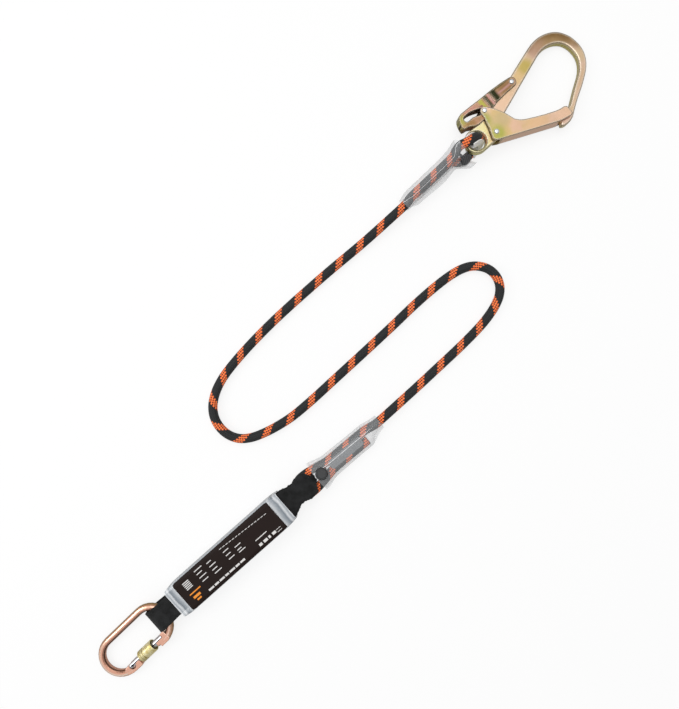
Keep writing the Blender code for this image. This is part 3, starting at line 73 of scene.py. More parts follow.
ORIGIN = Vector((-0.262352, -0.096966, 0.000013))
ROPE_D = 0.0115
GAP = 0.0003
SHEATH_PITCH = 0.0337
WHITE = (1.0, 1.0, 1.0, 1.0)
LANYARD = "lanyard"

# Centreline of the free rope in the layout frame, from the absorber's eye to the hook's. Where
# no height is given, the rope lies on the floor, its middle at LAID_MM.
LAID_MM = 5.95
ROPE_ROUTE_MM = (
    (245, 0, 8.4), (257, 0, 8.4), (280, 0, 7), (310, 0.2), (345, 1), (382, 2),
    (415, 4.2), (433, 7), (449, 11.5), (461, 17.5), (469.5, 26),
    (474, 37), (473.5, 49), (468.5, 59), (460, 67.5), (448.5, 73.2),
    (432, 76.8), (410, 78.6), (376, 79), (335, 77.6), (290, 76.6),
    (240, 75.8), (196, 75.2), (167, 76.2), (147, 79.2), (128, 84),
    (112, 90.2), (100, 99), (93, 110.5), (90.6, 124), (93, 138),
    (100.5, 150.5), (113.5, 161), (133, 169.4), (165, 175.6),
    (225, 180.7), (310, 181.4), (380, 179.4, 7.6), (432.5, 179, 13.7), (444.5, 179.2, 13.7),
)


class Slot(Enum):
    """Material slots of the pieces that are made here, all of which ride on the lanyard."""

    ROPE = "rope"
    THREAD = "thread"
    CLEAR_PVC = "clear_pvc"
    WEBBING = "webbing"
    FILM = "film"
    LABEL_FILM = "label_film"


def srgb(code: str) -> tuple[float, float, float, float]:
    """Turn a hex colour as seen on a screen into linear red, green, blue and an alpha of 1."""
    channels = []
    for i in (1, 3, 5):
        value = int(code[i:i + 2], 16) / 255
        channels.append(value / 12.92 if value <= 0.04045 else ((value + 0.055) / 1.055) ** 2.4)
    return (*channels, 1.0)


def smoothstep(value: float, low: float, high: float) -> float:
    """Ease from 0 to 1 as value goes from low to high."""
    t = min(max((value - low) / (high - low), 0.0), 1.0)
    return t * t * (3 - 2 * t)


def eased(stations: tuple, x: float) -> float:
    """Read a list of (x, value) stations, joined by smooth steps, at x."""
    if x <= stations[0][0]:
        return stations[0][1]
    for (x0, v0), (x1, v1) in zip(stations, stations[1:]):
        if x <= x1:
            return v0 + (v1 - v0) * smoothstep(x, x0, x1)
    return stations[-1][1]


def smooth_curve(points: list, steps: int) -> list[Vector]:
    """Run a centripetal Catmull-Rom curve through points.

    Args:
        points: control points, each with three values.
        steps: samples in each span.

    Returns:
        The points of the curve, its two ends among them.
    """
    pts = [2 * points[0] - points[1]] + points + [2 * points[-1] - points[-2]]
    knots = [max((b - a).length, 1e-9) ** 0.5 for a, b in zip(pts, pts[1:])]
    out = []
    for i in range(1, len(pts) - 2):
        p0, p1, p2, p3 = pts[i - 1:i + 3]
        t1, t2, t3 = knots[i - 1], sum(knots[i - 1:i + 1]), sum(knots[i - 1:i + 2])
        for s in range(steps):
            t = t1 + (t2 - t1) * s / steps
            a1, a2 = p0.lerp(p1, t / t1), p1.lerp(p2, (t - t1) / (t2 - t1))
            b1 = a1.lerp(a2, t / t2)
            b2 = a2.lerp(p2.lerp(p3, (t - t2) / (t3 - t2)), (t - t1) / (t3 - t1))
            out.append(b1.lerp(b2, (t - t1) / (t2 - t1)))
    out.append(pts[-2])
    return out


def resample(points: list[Vector], spacing: float) -> list[Vector]:
    """Space points evenly along the line that they make."""
    lengths = [0.0]
    for a, b in zip(points, points[1:]):
        lengths.append(lengths[-1] + (b - a).length)
    count = round(lengths[-1] / spacing) + 1
    out, j = [], 0
    for i in range(count):
        target = lengths[-1] * i / (count - 1)
        while j < len(lengths) - 2 and lengths[j + 1] < target:
            j += 1
        part = (target - lengths[j]) / (lengths[j + 1] - lengths[j])
        out.append(points[j].lerp(points[j + 1], min(part, 1.0)))
    return out


def spaced(first: float, last: float, count: int) -> list[float]:
    """Evenly spaced values from first to last, both among them."""
    return [first + (last - first) * i / count for i in range(count + 1)]


def arc(centre: tuple, radius: float, first: float, last: float, steps: int) -> list[tuple]:
    """Points of an arc, its angles in degrees."""
    angles = [math.radians(angle) for angle in spaced(first, last, steps)]
    return [(centre[0] + radius * math.cos(a), centre[1] + radius * math.sin(a)) for a in angles]


def operator(operation: str, swapped: bool = False) -> Callable:
    """Make a method that adds a Math node on a wire and what stands beside it.

    Args:
        operation: what the node does.
        swapped: whether the wire is the second value.

    Returns:
        The method.
    """
    def method(wire: "Wire", *others: "Wire | float") -> "Wire":
        return wire.graph.maths(operation, *((*others, wire) if swapped else (wire, *others)))

    return method


@dataclass(frozen=True)
class Wire:
    """What a shader node gives out. Arithmetic on it adds Math nodes."""

    graph: "Graph"
    socket: NodeSocket

    __add__ = __radd__ = operator("ADD")
    __mul__ = operator("MULTIPLY")
    __sub__ = operator("SUBTRACT")
    __rsub__ = operator("SUBTRACT", swapped=True)
    __pow__ = operator("POWER")
    __gt__ = operator("GREATER_THAN")
    __lt__ = operator("LESS_THAN")
    __abs__ = operator("ABSOLUTE")


Feed = Wire | str | float | tuple


class Graph:
    """A shader tree that nodes are added to, their inputs given as wires, hex colours or values."""

    def __init__(self, tree: NodeTree) -> None:
        self.tree = tree

    def feed(self, target: NodeSocket, value: Feed) -> None:
        """Give a socket a wire, a hex colour or a plain value."""
        if isinstance(value, Wire):
            self.tree.links.new(value.socket, target)
        else:
            target.default_value = srgb(value) if isinstance(value, str) else value

    def add(self, kind: str, links: dict | None = None, out: int | str = 0, **settings) -> Wire:
        """Add a node.

        Args:
            kind: node type without the ShaderNode prefix.
            links: what feeds each input, by its name or index.
            out: name or index of the output to return.
            **settings: attributes of the node itself.

        Returns:
            The chosen output.
        """
        made = self.tree.nodes.new("ShaderNode" + kind)
        for name, value in settings.items():
            setattr(made, name, value)
        for socket, value in (links or {}).items():
            self.feed(made.inputs[socket], value)
        return Wire(self, made.outputs[out])

    def maths(self, operation: str, *values: Feed) -> Wire:
        """Add a Math node."""
        return self.add("Math", dict(enumerate(values)), operation=operation)

    def zigzag(self, value: Wire) -> Wire:
        """Fold a value into a wave that rises from 0 to a half and falls back, once a unit."""
        return self.maths("PINGPONG", value, 0.5)

    def vector(self, operation: str, *values: Feed, out: int | str = 0) -> Wire:
        """Add a Vector Math node."""
        return self.add("VectorMath", dict(enumerate(values)), out, operation=operation)

    def split(self, vector: Wire) -> list[Wire]:
        """The three parts of a vector."""
        parts = self.add("SeparateXYZ", {0: vector}).socket.node.outputs
        return [Wire(self, part) for part in parts]

    def mix(self, factor: Feed, first: Feed, second: Feed) -> Wire:
        """Mix two colours by factor."""
        return self.add("Mix", {"Factor": factor, 6: first, 7: second}, 2, data_type="RGBA")

    def ramp(self, value: Wire, stops: tuple) -> Wire:
        """Add a colour ramp with (position, hex colour) stops."""
        made = self.add("ValToRGB", {"Fac": value})
        elements = made.socket.node.color_ramp.elements
        while len(elements) < len(stops):
            elements.new(0.5)
        for element, (position, colour) in zip(elements, stops):
            element.position = position
            element.color = srgb(colour)
        return made

    def span(self, value: Wire, low: float, high: float, to_low: float = 0.0, to_high: float = 1.0,
             **settings) -> Wire:
        """Map a value from one range to another and keep it inside."""
        ends = {"From Min": low, "From Max": high, "To Min": to_low, "To Max": to_high}
        return self.add("MapRange", {"Value": value, **ends}, **settings)

    def noise(self, place: Wire, scale: float, detail: float, roughness: float = 0.5) -> Wire:
        """Cloudy noise of 0 to 1, its scale in turns a millimetre."""
        settings = {"Vector": place, "Scale": scale, "Detail": detail, "Roughness": roughness}
        return self.add("TexNoise", settings)

    def millimetres(self) -> Wire:
        """Object coordinates in millimetres, so that a pattern's scale is its real size."""
        place = self.add("TexCoord", out="Object")
        return self.add("VectorMath", {0: place, 3: 1000.0}, operation="SCALE")

    def placed(self, frame: Matrix) -> Wire:
        """Coordinates in millimetres in a piece's own frame."""
        inverse = frame.inverted()
        return self.add("Mapping", {"Vector": self.millimetres(), "Rotation": tuple(inverse.to_euler()),
                                    "Location": tuple(inverse.translation * 1000)})

    def upright(self) -> Wire:
        """How far a face looks up or down, from 0 to 1."""
        return abs(self.split(self.add("NewGeometry", out="True Normal"))[2])

    def bump(self, height: Wire, depth_mm: float, strength: float, bevel_mm: float = 0.0,
             samples: int = 4) -> Wire:
        """Turn a height of 0 to 1 into a normal, over edges rounded by bevel_mm."""
        links = {"Height": height, "Distance": depth_mm * MM, "Strength": strength}
        if bevel_mm:
            links["Normal"] = self.add("Bevel", {"Radius": bevel_mm * MM}, samples=samples)
        return self.add("Bump", links)


class Look(Graph):
    """A material while it is made."""

    def __init__(self, name: str, colour: str) -> None:
        self.made = bpy.data.materials.new(name)
        self.made.use_nodes = True
        self.made.diffuse_color = srgb(colour)
        super().__init__(self.made.node_tree)

    def uv(self) -> list[Wire]:
        """The two values of the piece's map."""
        return self.split(self.add("UVMap", uv_map="UVMap"))[:2]

    def finish(self, inputs: dict) -> Material:
        """Feed the Principled shader's inputs and return the material."""
        shader = self.tree.nodes["Principled BSDF"]
        for name, value in inputs.items():
            self.feed(shader.inputs[name], value)
        return self.made


@dataclass(frozen=True)
class BraidedSheath:
    """Kernmantle sheath: black strands crossed over and under, a few neighbours orange.

    The eye reads a band of short orange dashes that winds round a matt black, knobbly rope. Painted
    shade darkens the gaps between strands and the edges of the orange floats; a painted highlight
    lifts the orange floats' middles.
    """

    strands: int = 12
    stripe: int = 4
    black: str = "#1F2021"
    grey: str = "#37393A"
    # Painted shade for the gaps between the strands.
    black_gap_shade: str = "#0C0C0D"
    # The orange floats: painted highlight in their middles, painted shade at their edges.
    orange: str = "#FF8A4A"
    orange_shade: str = "#D63F17"
    fall_along: float = 0.62
    fall_across: float = 0.95
    under_from: float = 1.1
    fibres: float = 2.4
    fibre_weight: float = 0.12
    braid_depth_mm: float = 0.3

    def material(self) -> Material:
        """Build the material. It reads the map's u as metres along and v as turns round."""
        look = Look("rope_sheath", self.black)
        along, turns = look.uv()
        rows = along * (self.strands / SHEATH_PITCH)
        columns = turns * float(self.strands) + 0.5
        strand = look.maths("FLOOR", rows) + look.maths("FLOOR", columns)
        strand = look.maths("FLOORED_MODULO", strand, float(self.strands))
        off_row, off_column = (abs(look.maths("FRACT", v) - 0.5) * 2.0 for v in (rows, columns))
        reach = off_row * self.fall_along + off_column * self.fall_across
        top = look.maths("MAXIMUM", 1.0 - reach, 0.0)
        under = look.maths("MAXIMUM", off_row + off_column - self.under_from, 0.0)
        swell = top ** 0.5
        crown = look.maths("MAXIMUM", swell, under ** 0.5)
        fibre = look.noise(look.millimetres(), self.fibres, 3.0)
        # Painted shade darkens the gaps between strands; painted highlight lifts the orange floats' middles.
        dark = look.mix(crown, self.black_gap_shade, look.mix(fibre, self.black, self.grey))
        bright = look.mix(swell * (fibre * 0.8 + 0.7), self.orange_shade, self.orange)
        tracer = (strand < self.stripe - 0.5) * (top > 0.02)
        return look.finish({
            "Base Color": look.mix(tracer, dark, bright), "Roughness": 0.75, "Specular IOR Level": 0.3,
            "Normal": look.bump(fibre * self.fibre_weight + crown, self.braid_depth_mm, 0.7),
            "Sheen Weight": 0.08, "Sheen Roughness": 0.5})


@dataclass(frozen=True)
class WovenWebbing:
    """Black polyester webbing: fine ribs across the strap with painted shade in the weave's gaps, a dull
    fabric sheen.
    """

    colour: str = "#1D1E1E"
    black: str = "#0B0C0C"
    grey: str = "#242526"
    # Painted shade for the gaps of the weave.
    gap: str = "#050505"
    rib_mm: float = 0.9
    warp_mm: float = 1.3
    weave_depth_mm: float = 0.22
    gap_shade_weight: float = 0.6
    clouds: float = 0.12

    def material(self) -> Material:
        """Build the material. It reads the map's u as metres along and v as metres across."""
        look = Look("webbing_weave", self.colour)
        along, across = look.uv()
        along, across = along * (1000 / self.rib_mm), across * (1000 / self.warp_mm)
        column = look.maths("FLOORED_MODULO", look.maths("FLOOR", across), 2.0)
        height = (look.zigzag(along + column * 0.5) * 2.0 * (look.zigzag(across) * 2.0)) ** 0.5
        cloud = look.span(look.noise(look.millimetres(), self.clouds, 4.0), 0.35, 0.65)
        cloth = look.mix(cloud, self.black, self.grey)
        # Painted shade darkens the weave where it dips.
        colour = look.mix((1.0 - height) * self.gap_shade_weight, cloth, self.gap)
        return look.finish({
            "Base Color": colour, "Normal": look.bump(height, self.weave_depth_mm, 0.9),
            "Roughness": 0.8, "Specular IOR Level": 0.3, "Sheen Weight": 0.1, "Sheen Roughness": 0.45})


@dataclass(frozen=True)
class ClearPlastic:
    """Soft clear plastic: pale grey veil over what it covers, glossy, faintly rippled.

    The fold highlights list (place round the sleeve, half width) of the pale painted highlight lines that
    run along its folds and creases.
    """

    colour: str = "#C2C4C6"
    lighter: str = "#D6D8DA"
    # Pale painted highlight for the lines along the folds.
    fold_highlight: str = "#F2F3F4"
    alpha: float = 0.24
    rim: float = 0.14
    fold_highlight_alpha: float = 0.6
    ripple_mm: float = 9.0
    ripple_depth_mm: float = 0.2
    fold_highlights: tuple = ((0.0160, 0.0004), (0.0264, 0.00005), (0.0380, 0.0004))

    def material(self) -> Material:
        """Build the material."""
        look = Look("clear_vinyl", self.colour)
        waves = look.noise(look.millimetres(), 1 / self.ripple_mm, 2.0)
        edge = look.add("LayerWeight", {"Blend": 0.35}, "Facing")
        around = look.uv()[1]
        # Painted highlight lines along the folds and creases: paler and less clear.
        fold_highlight = sum(look.maths("COMPARE", around, line, half) for line, half in self.fold_highlights)
        tint = look.mix(fold_highlight, look.mix(waves, self.colour, self.lighter), self.fold_highlight)
        veil = edge * self.rim + self.alpha + fold_highlight * self.fold_highlight_alpha
        return look.finish({
            "Base Color": tint, "Alpha": look.maths("MINIMUM", veil, 1.0), "Roughness": 0.14,
            "Coat Weight": 0.4, "Coat Roughness": 0.12,
            "Normal": look.bump(waves, self.ripple_depth_mm, 0.8)})


@dataclass(frozen=True)
class ShrinkFilm:
    """Thick clear shrink film: milky grey, with bands of painted highlight (white) and painted shade
    (blue-grey) beside each open end.

    alphas gives how much its upright sides and its flat faces cover.
    """

    half_length_mm: float = 91.0
    middle: str = "#A7AEB5"
    bands_mm: float = 16.0
    wander_mm: float = 5.0
    alphas: tuple = (0.84, 0.8)
    # Painted highlight and painted shade bands beside the ends: white highlights, blue-grey shade.
    bands: tuple = ((0.0, "#EEF0F2"), (0.10, "#A7AEB5"), (0.28, "#E3E6E9"), (0.42, "#7F8891"),
                    (0.62, "#A7AEB5"), (0.85, "#D9DDE0"), (1.0, "#B9BFC5"))

    def material(self) -> Material:
        """Build the material. The bands follow the distance from the nearer end."""
        look = Look("shrink_film", self.middle)
        place = look.vector("SUBTRACT", look.millimetres(), tuple(ORIGIN * 1000))
        slow = look.noise(place, 0.05, 2.0)
        from_end = self.half_length_mm - abs(look.split(place)[0]) + (slow - 0.5) * self.wander_mm
        return look.finish({
            # Painted highlight and shade bands, by distance from the nearer end.
            "Base Color": look.ramp(from_end * (1 / self.bands_mm), self.bands),
            "Alpha": look.span(look.upright(), 0.0, 1.0, *self.alphas),
            "Normal": look.bump(slow, 0.6, 0.8),
            "Roughness": 0.25, "Coat Weight": 0.3, "Coat Roughness": 0.15})


@dataclass(frozen=True)
class PassivatedZinc:
    """Chromate-passivated zinc on steel: satin metal with drifting pink, gold and green.

    spots lists (x, y, reach, colour, strength) of soft patches in the frame's millimetres, and
    bars lists (x, y, direction across, half width, reach, colour) of painted highlight and painted
    shade along ribs and steps. Walls take the side tone, partly the passivation's own tint and partly
    painted light and shade. A painted highlight turns edges pale over outline_mm, and painted shade
    darkens them where the metal ends. The ranges say over which values clouds, walls, edges and ends
    come in.
    """

    name: str
    base: str
    cloud: str
    # Painted highlight for the rounded edges.
    edge: str
    frame: Matrix
    spots: tuple
    bars: tuple = ()
    roughness: float = 0.3
    # Tone of the walls, which face sideways: partly the passivation's own tint, partly painted light and
    # shade.
    side: str = "#B9B070"
    wall_light_weight: float = 0.7
    # Painted shade for the dark outline where the metal ends.
    edge_shade: str = "#38281A"
    edge_shade_weight: float = 0.85
    edge_highlight_weight: float = 0.6
    warp_mm: float = 12.0
    outline_mm: float = 2.8
    round_mm: float = 1.2
    drifts: float = 0.045
    drift_range: tuple = (0.38, 0.66)
    wall_light_range: tuple = (0.7, 0.2)
    edge_highlight_range: tuple = (0.9995, 0.99)
    edge_shade_range: tuple = (0.985, 0.95)
    grain: float = 0.9

    def material(self) -> Material:
        """Build the material."""
        look = Look(self.name, self.base)
        local = look.placed(self.frame)
        drift = look.noise(local, self.drifts, 3.0, 0.55)
        fine = look.noise(local, self.grain, 4.0)
        colour = look.mix(look.span(drift, *self.drift_range), self.base, self.cloud)
        colour = self.patched(look, colour, local, (drift - 0.5) * self.warp_mm)
        # Walls take their own tone by which way they face: partly painted light and shade.
        wall = look.span(look.upright(), *self.wall_light_range)
        colour = look.mix(wall * self.wall_light_weight, colour, self.side)
        outline = look.add("Bevel", {"Radius": self.outline_mm * MM}, samples=8)
        true = look.add("NewGeometry", out="True Normal")
        turn = look.vector("DOT_PRODUCT", outline, true, out="Value")
        # Painted highlight turns rounded edges pale.
        colour = look.mix(look.span(turn, *self.edge_highlight_range) * self.edge_highlight_weight, colour, self.edge)
        # Painted shade darkens the outline where the metal ends.
        colour = look.mix(look.span(turn, *self.edge_shade_range) * self.edge_shade_weight, colour, self.edge_shade)
        rough = look.span(fine, 0.0, 1.0, self.roughness - 0.07, self.roughness + 0.1)
        return look.finish({"Base Color": colour, "Metallic": 0.85, "Roughness": rough,
                            "Normal": look.bump(fine, 0.06, 0.6, self.round_mm, 6)})

    def patched(self, look: Look, colour: Wire, local: Wire, warp: Wire) -> Wire:
        """Lay the spots and bars over a colour, their borders moved by warp."""
        plan = look.vector("MULTIPLY", local, (1.0, 1.0, 0.0))
        for x, y, reach, tint, weight in self.spots:
            away = look.vector("DISTANCE", plan, (x, y, 0.0), out="Value")
            near = look.span(away + warp, reach, reach * 0.3, 0.0, weight, interpolation_type="SMOOTHSTEP")
            colour = look.mix(near, colour, tint)
        # The bars paint highlight and shade along ribs and steps.
        for x, y, across, half, reach, tint in self.bars:
            offset = look.vector("SUBTRACT", plan, (x, y, 0.0))
            beside = abs(look.vector("DOT_PRODUCT", offset, across, out="Value") + warp * 0.15)
            inside = look.span(beside, half * 1.4, half * 0.5)
            near = look.vector("LENGTH", offset, out="Value") < reach
            colour = look.mix(inside * near, colour, tint)
        return colour


@dataclass(frozen=True)
class PolishedSteel:
    """Bright steel: near-white metal, fine turning marks, sharp reflections."""

    name: str
    colour: str = "#D8DCE2"
    roughness: float = 0.2
    scratch_mm: float = 0.7
    bright: str = "#F2F4F6"

    def material(self) -> Material:
        """Build the material."""
        look = Look(self.name, self.colour)
        fine = look.noise(look.millimetres(), 1 / self.scratch_mm, 4.0)
        rough = look.span(fine, 0.0, 1.0, self.roughness * 0.7, self.roughness * 1.5)
        return look.finish({"Base Color": look.mix(fine, self.colour, self.bright), "Roughness": rough,
                            "Normal": look.bump(fine, 0.02, 0.5, 0.4), "Metallic": 1.0})


@dataclass(frozen=True)
class PlatedRod:
    """Bright plated rod: tones of painted highlight, painted shade and painted reflection run in long
    lines beside its crown, from the inner side to the outer, by which way the surface faces.

    stops lists (place from the inner side at 0 to the outer side at 1, colour).
    """

    name: str
    frame: Matrix
    stops: tuple
    half_length_mm: float = 30.0
    metallic: float = 0.6
    roughness: float = 0.2
    speck: float = 0.08
    grain: float = 0.6

    def material(self) -> Material:
        """Build the material."""
        look = Look(self.name, self.stops[0][1])
        local = look.placed(self.frame)
        x, y = look.split(local)[:2]
        middle = look.maths("MAXIMUM", x, -self.half_length_mm)
        middle = look.maths("MINIMUM", middle, self.half_length_mm)
        out = look.vector("NORMALIZE", look.add("CombineXYZ", {0: x - middle, 1: y}))
        normal = look.add("TexCoord", out="Normal")
        turn = tuple(self.frame.inverted().to_euler())
        facing = look.add("Mapping", {"Vector": normal, "Rotation": turn}, vector_type="VECTOR")
        # Painted light: the colour follows which way the surface faces, for highlights and dark reflections.
        painted_light_lean = look.vector("DOT_PRODUCT", facing, out, out="Value")
        fine = look.noise(local, self.grain, 3.0)
        painted_light_lean = painted_light_lean * 0.5 + 0.5 + (fine - 0.5) * self.speck
        rough = look.span(fine, 0.0, 1.0, self.roughness * 0.8, self.roughness * 1.2)
        return look.finish({
            "Base Color": look.ramp(painted_light_lean, self.stops), "Metallic": self.metallic, "Roughness": rough,
            "Normal": look.bump(fine, 0.03, 0.5), "Coat Weight": 0.3, "Coat Roughness": 0.1})


@dataclass(frozen=True)
class KnurledBrass:
    """Yellow passivated sleeve: pale gold metal with knurled bands round its axis, and painted shade
    in its ring grooves and between the knurl's ridges.
    """

    frame: Matrix
    light: str = "#EEE4B4"
    dark: str = "#D2BF78"
    # Painted shade for the grooves and between the knurl's ridges.
    groove_shade: str = "#8E7E3E"
    grooves_mm: tuple = (1.2, 4.9, 8.6)
    knurled_mm: tuple = (1.6, 8.2)
    ridges: float = 34.0
    ridge_mm: float = 1.3
    groove_half_mm: float = 0.35
    groove_shade_weight: float = 0.7
    knurl_shade_weight: float = 0.6

    def material(self) -> Material:
        """Build the material."""
        look = Look("sleeve_brass", self.light)
        local = look.placed(self.frame)
        x, y, z = look.split(local)
        angle = look.maths("ARCTAN2", y, z)
        diamond = look.zigzag(angle * (self.ridges / (2 * math.pi)))
        diamond += look.zigzag(x * (1 / self.ridge_mm))
        band = (x > self.knurled_mm[0]) * (x < self.knurled_mm[1])
        cloud = look.span(look.noise(local, 0.22, 3.0), 0.4, 0.65)
        colour = look.mix(cloud, self.light, self.dark)
        # Painted shade in the ring grooves, then between the knurl's ridges.
        for place in self.grooves_mm:
            groove_shade = look.maths("COMPARE", x, place, self.groove_half_mm)
            colour = look.mix(groove_shade * self.groove_shade_weight, colour, self.groove_shade)
        colour = look.mix((1.0 - diamond) * band * self.knurl_shade_weight, colour, self.groove_shade)
        return look.finish({"Base Color": colour, "Metallic": 0.55, "Roughness": 0.28,
                            "Normal": look.bump(diamond * band, 0.3, 0.8, 0.5)})


@dataclass(frozen=True)
class MouldedPlastic:
    """Moulded plastic: even colour with a faint cloud, a fine skin and a soft shine."""

    name: str
    colour: str
    lighter: str
    roughness: float = 0.5
    grain_mm: float = 0.35
    specular: float = 0.4
    ribs_mm: float = 0.0
    rib: str = "#55575A"
    rib_from: float = 0.3
    rib_weight: float = 0.8

    def material(self) -> Material:
        """Build the material."""
        look = Look(self.name, self.colour)
        place = look.millimetres()
        colour = look.mix(look.noise(place, 0.18, 2.0), self.colour, self.lighter)
        if self.ribs_mm:
            rib = look.zigzag(look.split(place)[0] * (1 / self.ribs_mm)) > self.rib_from
            colour = look.mix(rib * self.rib_weight, colour, self.rib)
        skin = look.noise(place, 1 / self.grain_mm, 2.0)
        return look.finish({"Base Color": colour, "Normal": look.bump(skin, 0.05, 0.5),
                            "Roughness": self.roughness, "Specular IOR Level": self.specular})


@dataclass(frozen=True)
class BondedThread:
    """Dense zigzag sewing: grey thread ridges that catch the light one by one."""

    colour: str = "#8E9194"
    dark: str = "#6A6D70"
    twist_mm: float = 0.8
    waves: float = 0.35

    def material(self) -> Material:
        """Build the material."""
        look = Look("bonded_thread", self.colour)
        scale = self.waves / self.twist_mm
        wave = {"Vector": look.millimetres(), "Scale": scale, "Distortion": 1.2, "Detail": 1.0}
        twist = look.add("TexWave", wave, "Fac")
        return look.finish({"Base Color": look.mix(twist, self.dark, self.colour), "Roughness": 0.6,
                            "Normal": look.bump(twist, 0.15, 0.7)})


@dataclass
class Skin:
    """A swept surface: rings of points, with a map of distance along and place round or across."""

    name: str
    rings: list
    along: list
    around: list
    loop_ring: bool = False
    capped: bool = True

    def build(self, material: Material, slot: Slot, sharp: float = 180.0) -> Object:
        """Make the mesh object and let it ride.

        Args:
            material: its finish.
            slot: the record's material slot; not used.
            sharp: edges sharper than this, in degrees, stay crisp.

        Returns:
            The object.
        """
        count, last = len(self.rings[0]), len(self.rings) - 1
        faces, maps = [], []
        for i in range(last + self.loop_ring):
            a, b = i * count, ((i + 1) % len(self.rings)) * count
            for j in range(count):
                k = (j + 1) % count
                faces.append((a + j, a + k, b + k, b + j))
                u0, u1 = self.along[i], self.along[i + 1]
                v0, v1 = self.around[j], self.around[j + 1]
                maps += [(u0, v0), (u0, v1), (u1, v1), (u1, v0)]
        if self.capped and not self.loop_ring:
            faces.append(tuple(reversed(range(count))))
            faces.append(tuple(last * count + j for j in range(count)))
            maps += [(self.along[0], v) for v in reversed(self.around[:count])]
            maps += [(self.along[-1], v) for v in self.around[:count]]
        mesh = bpy.data.meshes.new(self.name)
        mesh.from_pydata([tuple(point) for ring in self.rings for point in ring], [], faces)
        layer = mesh.uv_layers.new(name="UVMap")
        for entry, place in zip(layer.data, maps):
            entry.uv = place
        work = bmesh.new()
        work.from_mesh(mesh)
        bmesh.ops.recalc_face_normals(work, faces=work.faces)
        work.to_mesh(mesh)
        work.free()
        mesh.shade_smooth()
        if sharp < 180.0:
            mesh.set_sharp_from_angle(angle=math.radians(sharp))
        return add_piece(mesh, material)


def add_piece(mesh: Mesh, material: Material) -> Object:
    """Put a mesh in the scene as a piece of its own name that rides on the lanyard."""
    piece = bpy.data.objects.new(mesh.name, mesh)
    bpy.context.scene.collection.objects.link(piece)
    mesh.materials.append(material)
    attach(piece, LANYARD)
    LOG.info("built %s", piece.name)
    return piece


def heading_at(points: list[Vector], i: int) -> Vector:
    """Direction of a line of points at its point i."""
    return (points[min(i + 1, len(points) - 1)] - points[max(i - 1, 0)]).normalized()


def tube(name: str, points: list[Vector], radius: float, sides: int = 20) -> Skin:
    """Sweep a round section along points, its map counted in metres from the first."""
    side, rings, along = None, [], [0.0]
    turn = [2 * math.pi * j / sides for j in range(sides)]
    for i, here in enumerate(points):
        ahead = heading_at(points, i)
        side = (side - ahead * side.dot(ahead) if side else ahead.orthogonal()).normalized()
        up = ahead.cross(side)
        rings.append([here + side * (radius * math.cos(a)) + up * (radius * math.sin(a)) for a in turn])
        if i:
            along.append(along[-1] + (here - points[i - 1]).length)
    return Skin(name, rings, along, [j / sides for j in range(sides + 1)])


def dress(names: list[str], material: Material, angle: float = 35.0) -> None:
    """Give nodes of the frame a finish and smooth shading up to an angle in degrees."""
    for name in names:
        mesh = bpy.data.objects[name].data
        mesh.materials.clear()
        mesh.materials.append(material)
        mesh.shade_smooth()
        mesh.set_sharp_from_angle(angle=math.radians(angle))


@dataclass
class SewnEye:
    """How one sewn rope eye lies: x runs from the snap to the bight, v across the two legs."""

    name: str
    bight_x: float
    bight_r: float
    mouth_x: float
    sleeve_end_x: float
    roll: tuple
    lift: tuple
    skirt_lay: float | None
    heading: float
    mirrored: bool
    route_end: tuple
    mouth_v: float = 0.0030
    spread: float = 0.0059
    spread_start: float = 0.020
    mouth_straight: float = 0.004
    tail_end: float = 0.070
    tail_straight: float = 0.001
    sidestep: float = 0.0022
    roll_kept_x: float = -0.002

    def leg(self, x: float) -> float:
        """Half distance between the two legs at x."""
        opened = smoothstep(x, -self.spread_start, self.bight_x * 0.9)
        return self.spread + (self.bight_r - self.spread) * opened

    def main_leg(self, x: float) -> float:
        """Offset of the leg that runs on into the free rope."""
        if x > -self.spread_start:
            return self.leg(x)
        straight = (self.mouth_x + self.mouth_straight, self.mouth_v)
        return eased((straight, (-self.tail_end - self.tail_straight, self.spread)), x)

    def local(self, x: float, v: float, w: float) -> Vector:
        """Map eye coordinates to the eye's own upright frame."""
        roll = math.radians(eased(self.roll, x))
        y = v * math.cos(roll) - w * math.sin(roll)
        z = v * math.sin(roll) + w * math.cos(roll) + eased(self.lift, x)
        if self.skirt_lay is not None:
            sewn = math.radians(eased(self.roll, min(x, self.roll_kept_x)))
            y += self.spread * (math.cos(math.radians(self.roll[0][1])) - math.cos(sewn))
            y -= self.sidestep * smoothstep(x, 0.0, self.bight_x)
        return Vector((x, y, z))

    def frame(self) -> Matrix:
        """The eye's frame in the row frame, its mouth on the end of the free rope."""
        mouth = self.local(self.mouth_x, self.mouth_v, 0.0)
        flip = Matrix.Scale(-1.0, 4, (0.0, 1.0, 0.0)) if self.mirrored else Matrix.Identity(4)
        turn = Matrix.Rotation(math.radians(self.heading), 4, "Z") @ flip
        shift = Vector(self.route_end) * MM - turn @ mouth
        shift.z = 0.0
        return Matrix.Translation(shift + ORIGIN) @ turn

    def route(self) -> list[tuple]:
        """Centreline in the eye's plane: main leg, bight and the leg that ends cut off."""
        mouth = self.mouth_x + self.mouth_straight
        bend = [(x, self.leg(x)) for x in spaced(-self.spread_start, self.bight_x, 14)[:-1]]
        points = [(self.mouth_x + GAP / 2, self.mouth_v)]
        points += [(x, self.main_leg(x)) for x in spaced(mouth, -self.spread_start, 22)[:-1]] + bend
        points += arc((self.bight_x, 0.0), self.bight_r, 90.0, -90.0, 22)
        points += [(x, -v) for x, v in reversed(bend)]
        return points + [(x, -self.spread) for x in spaced(-self.spread_start, -self.tail_end, 14)[1:]]


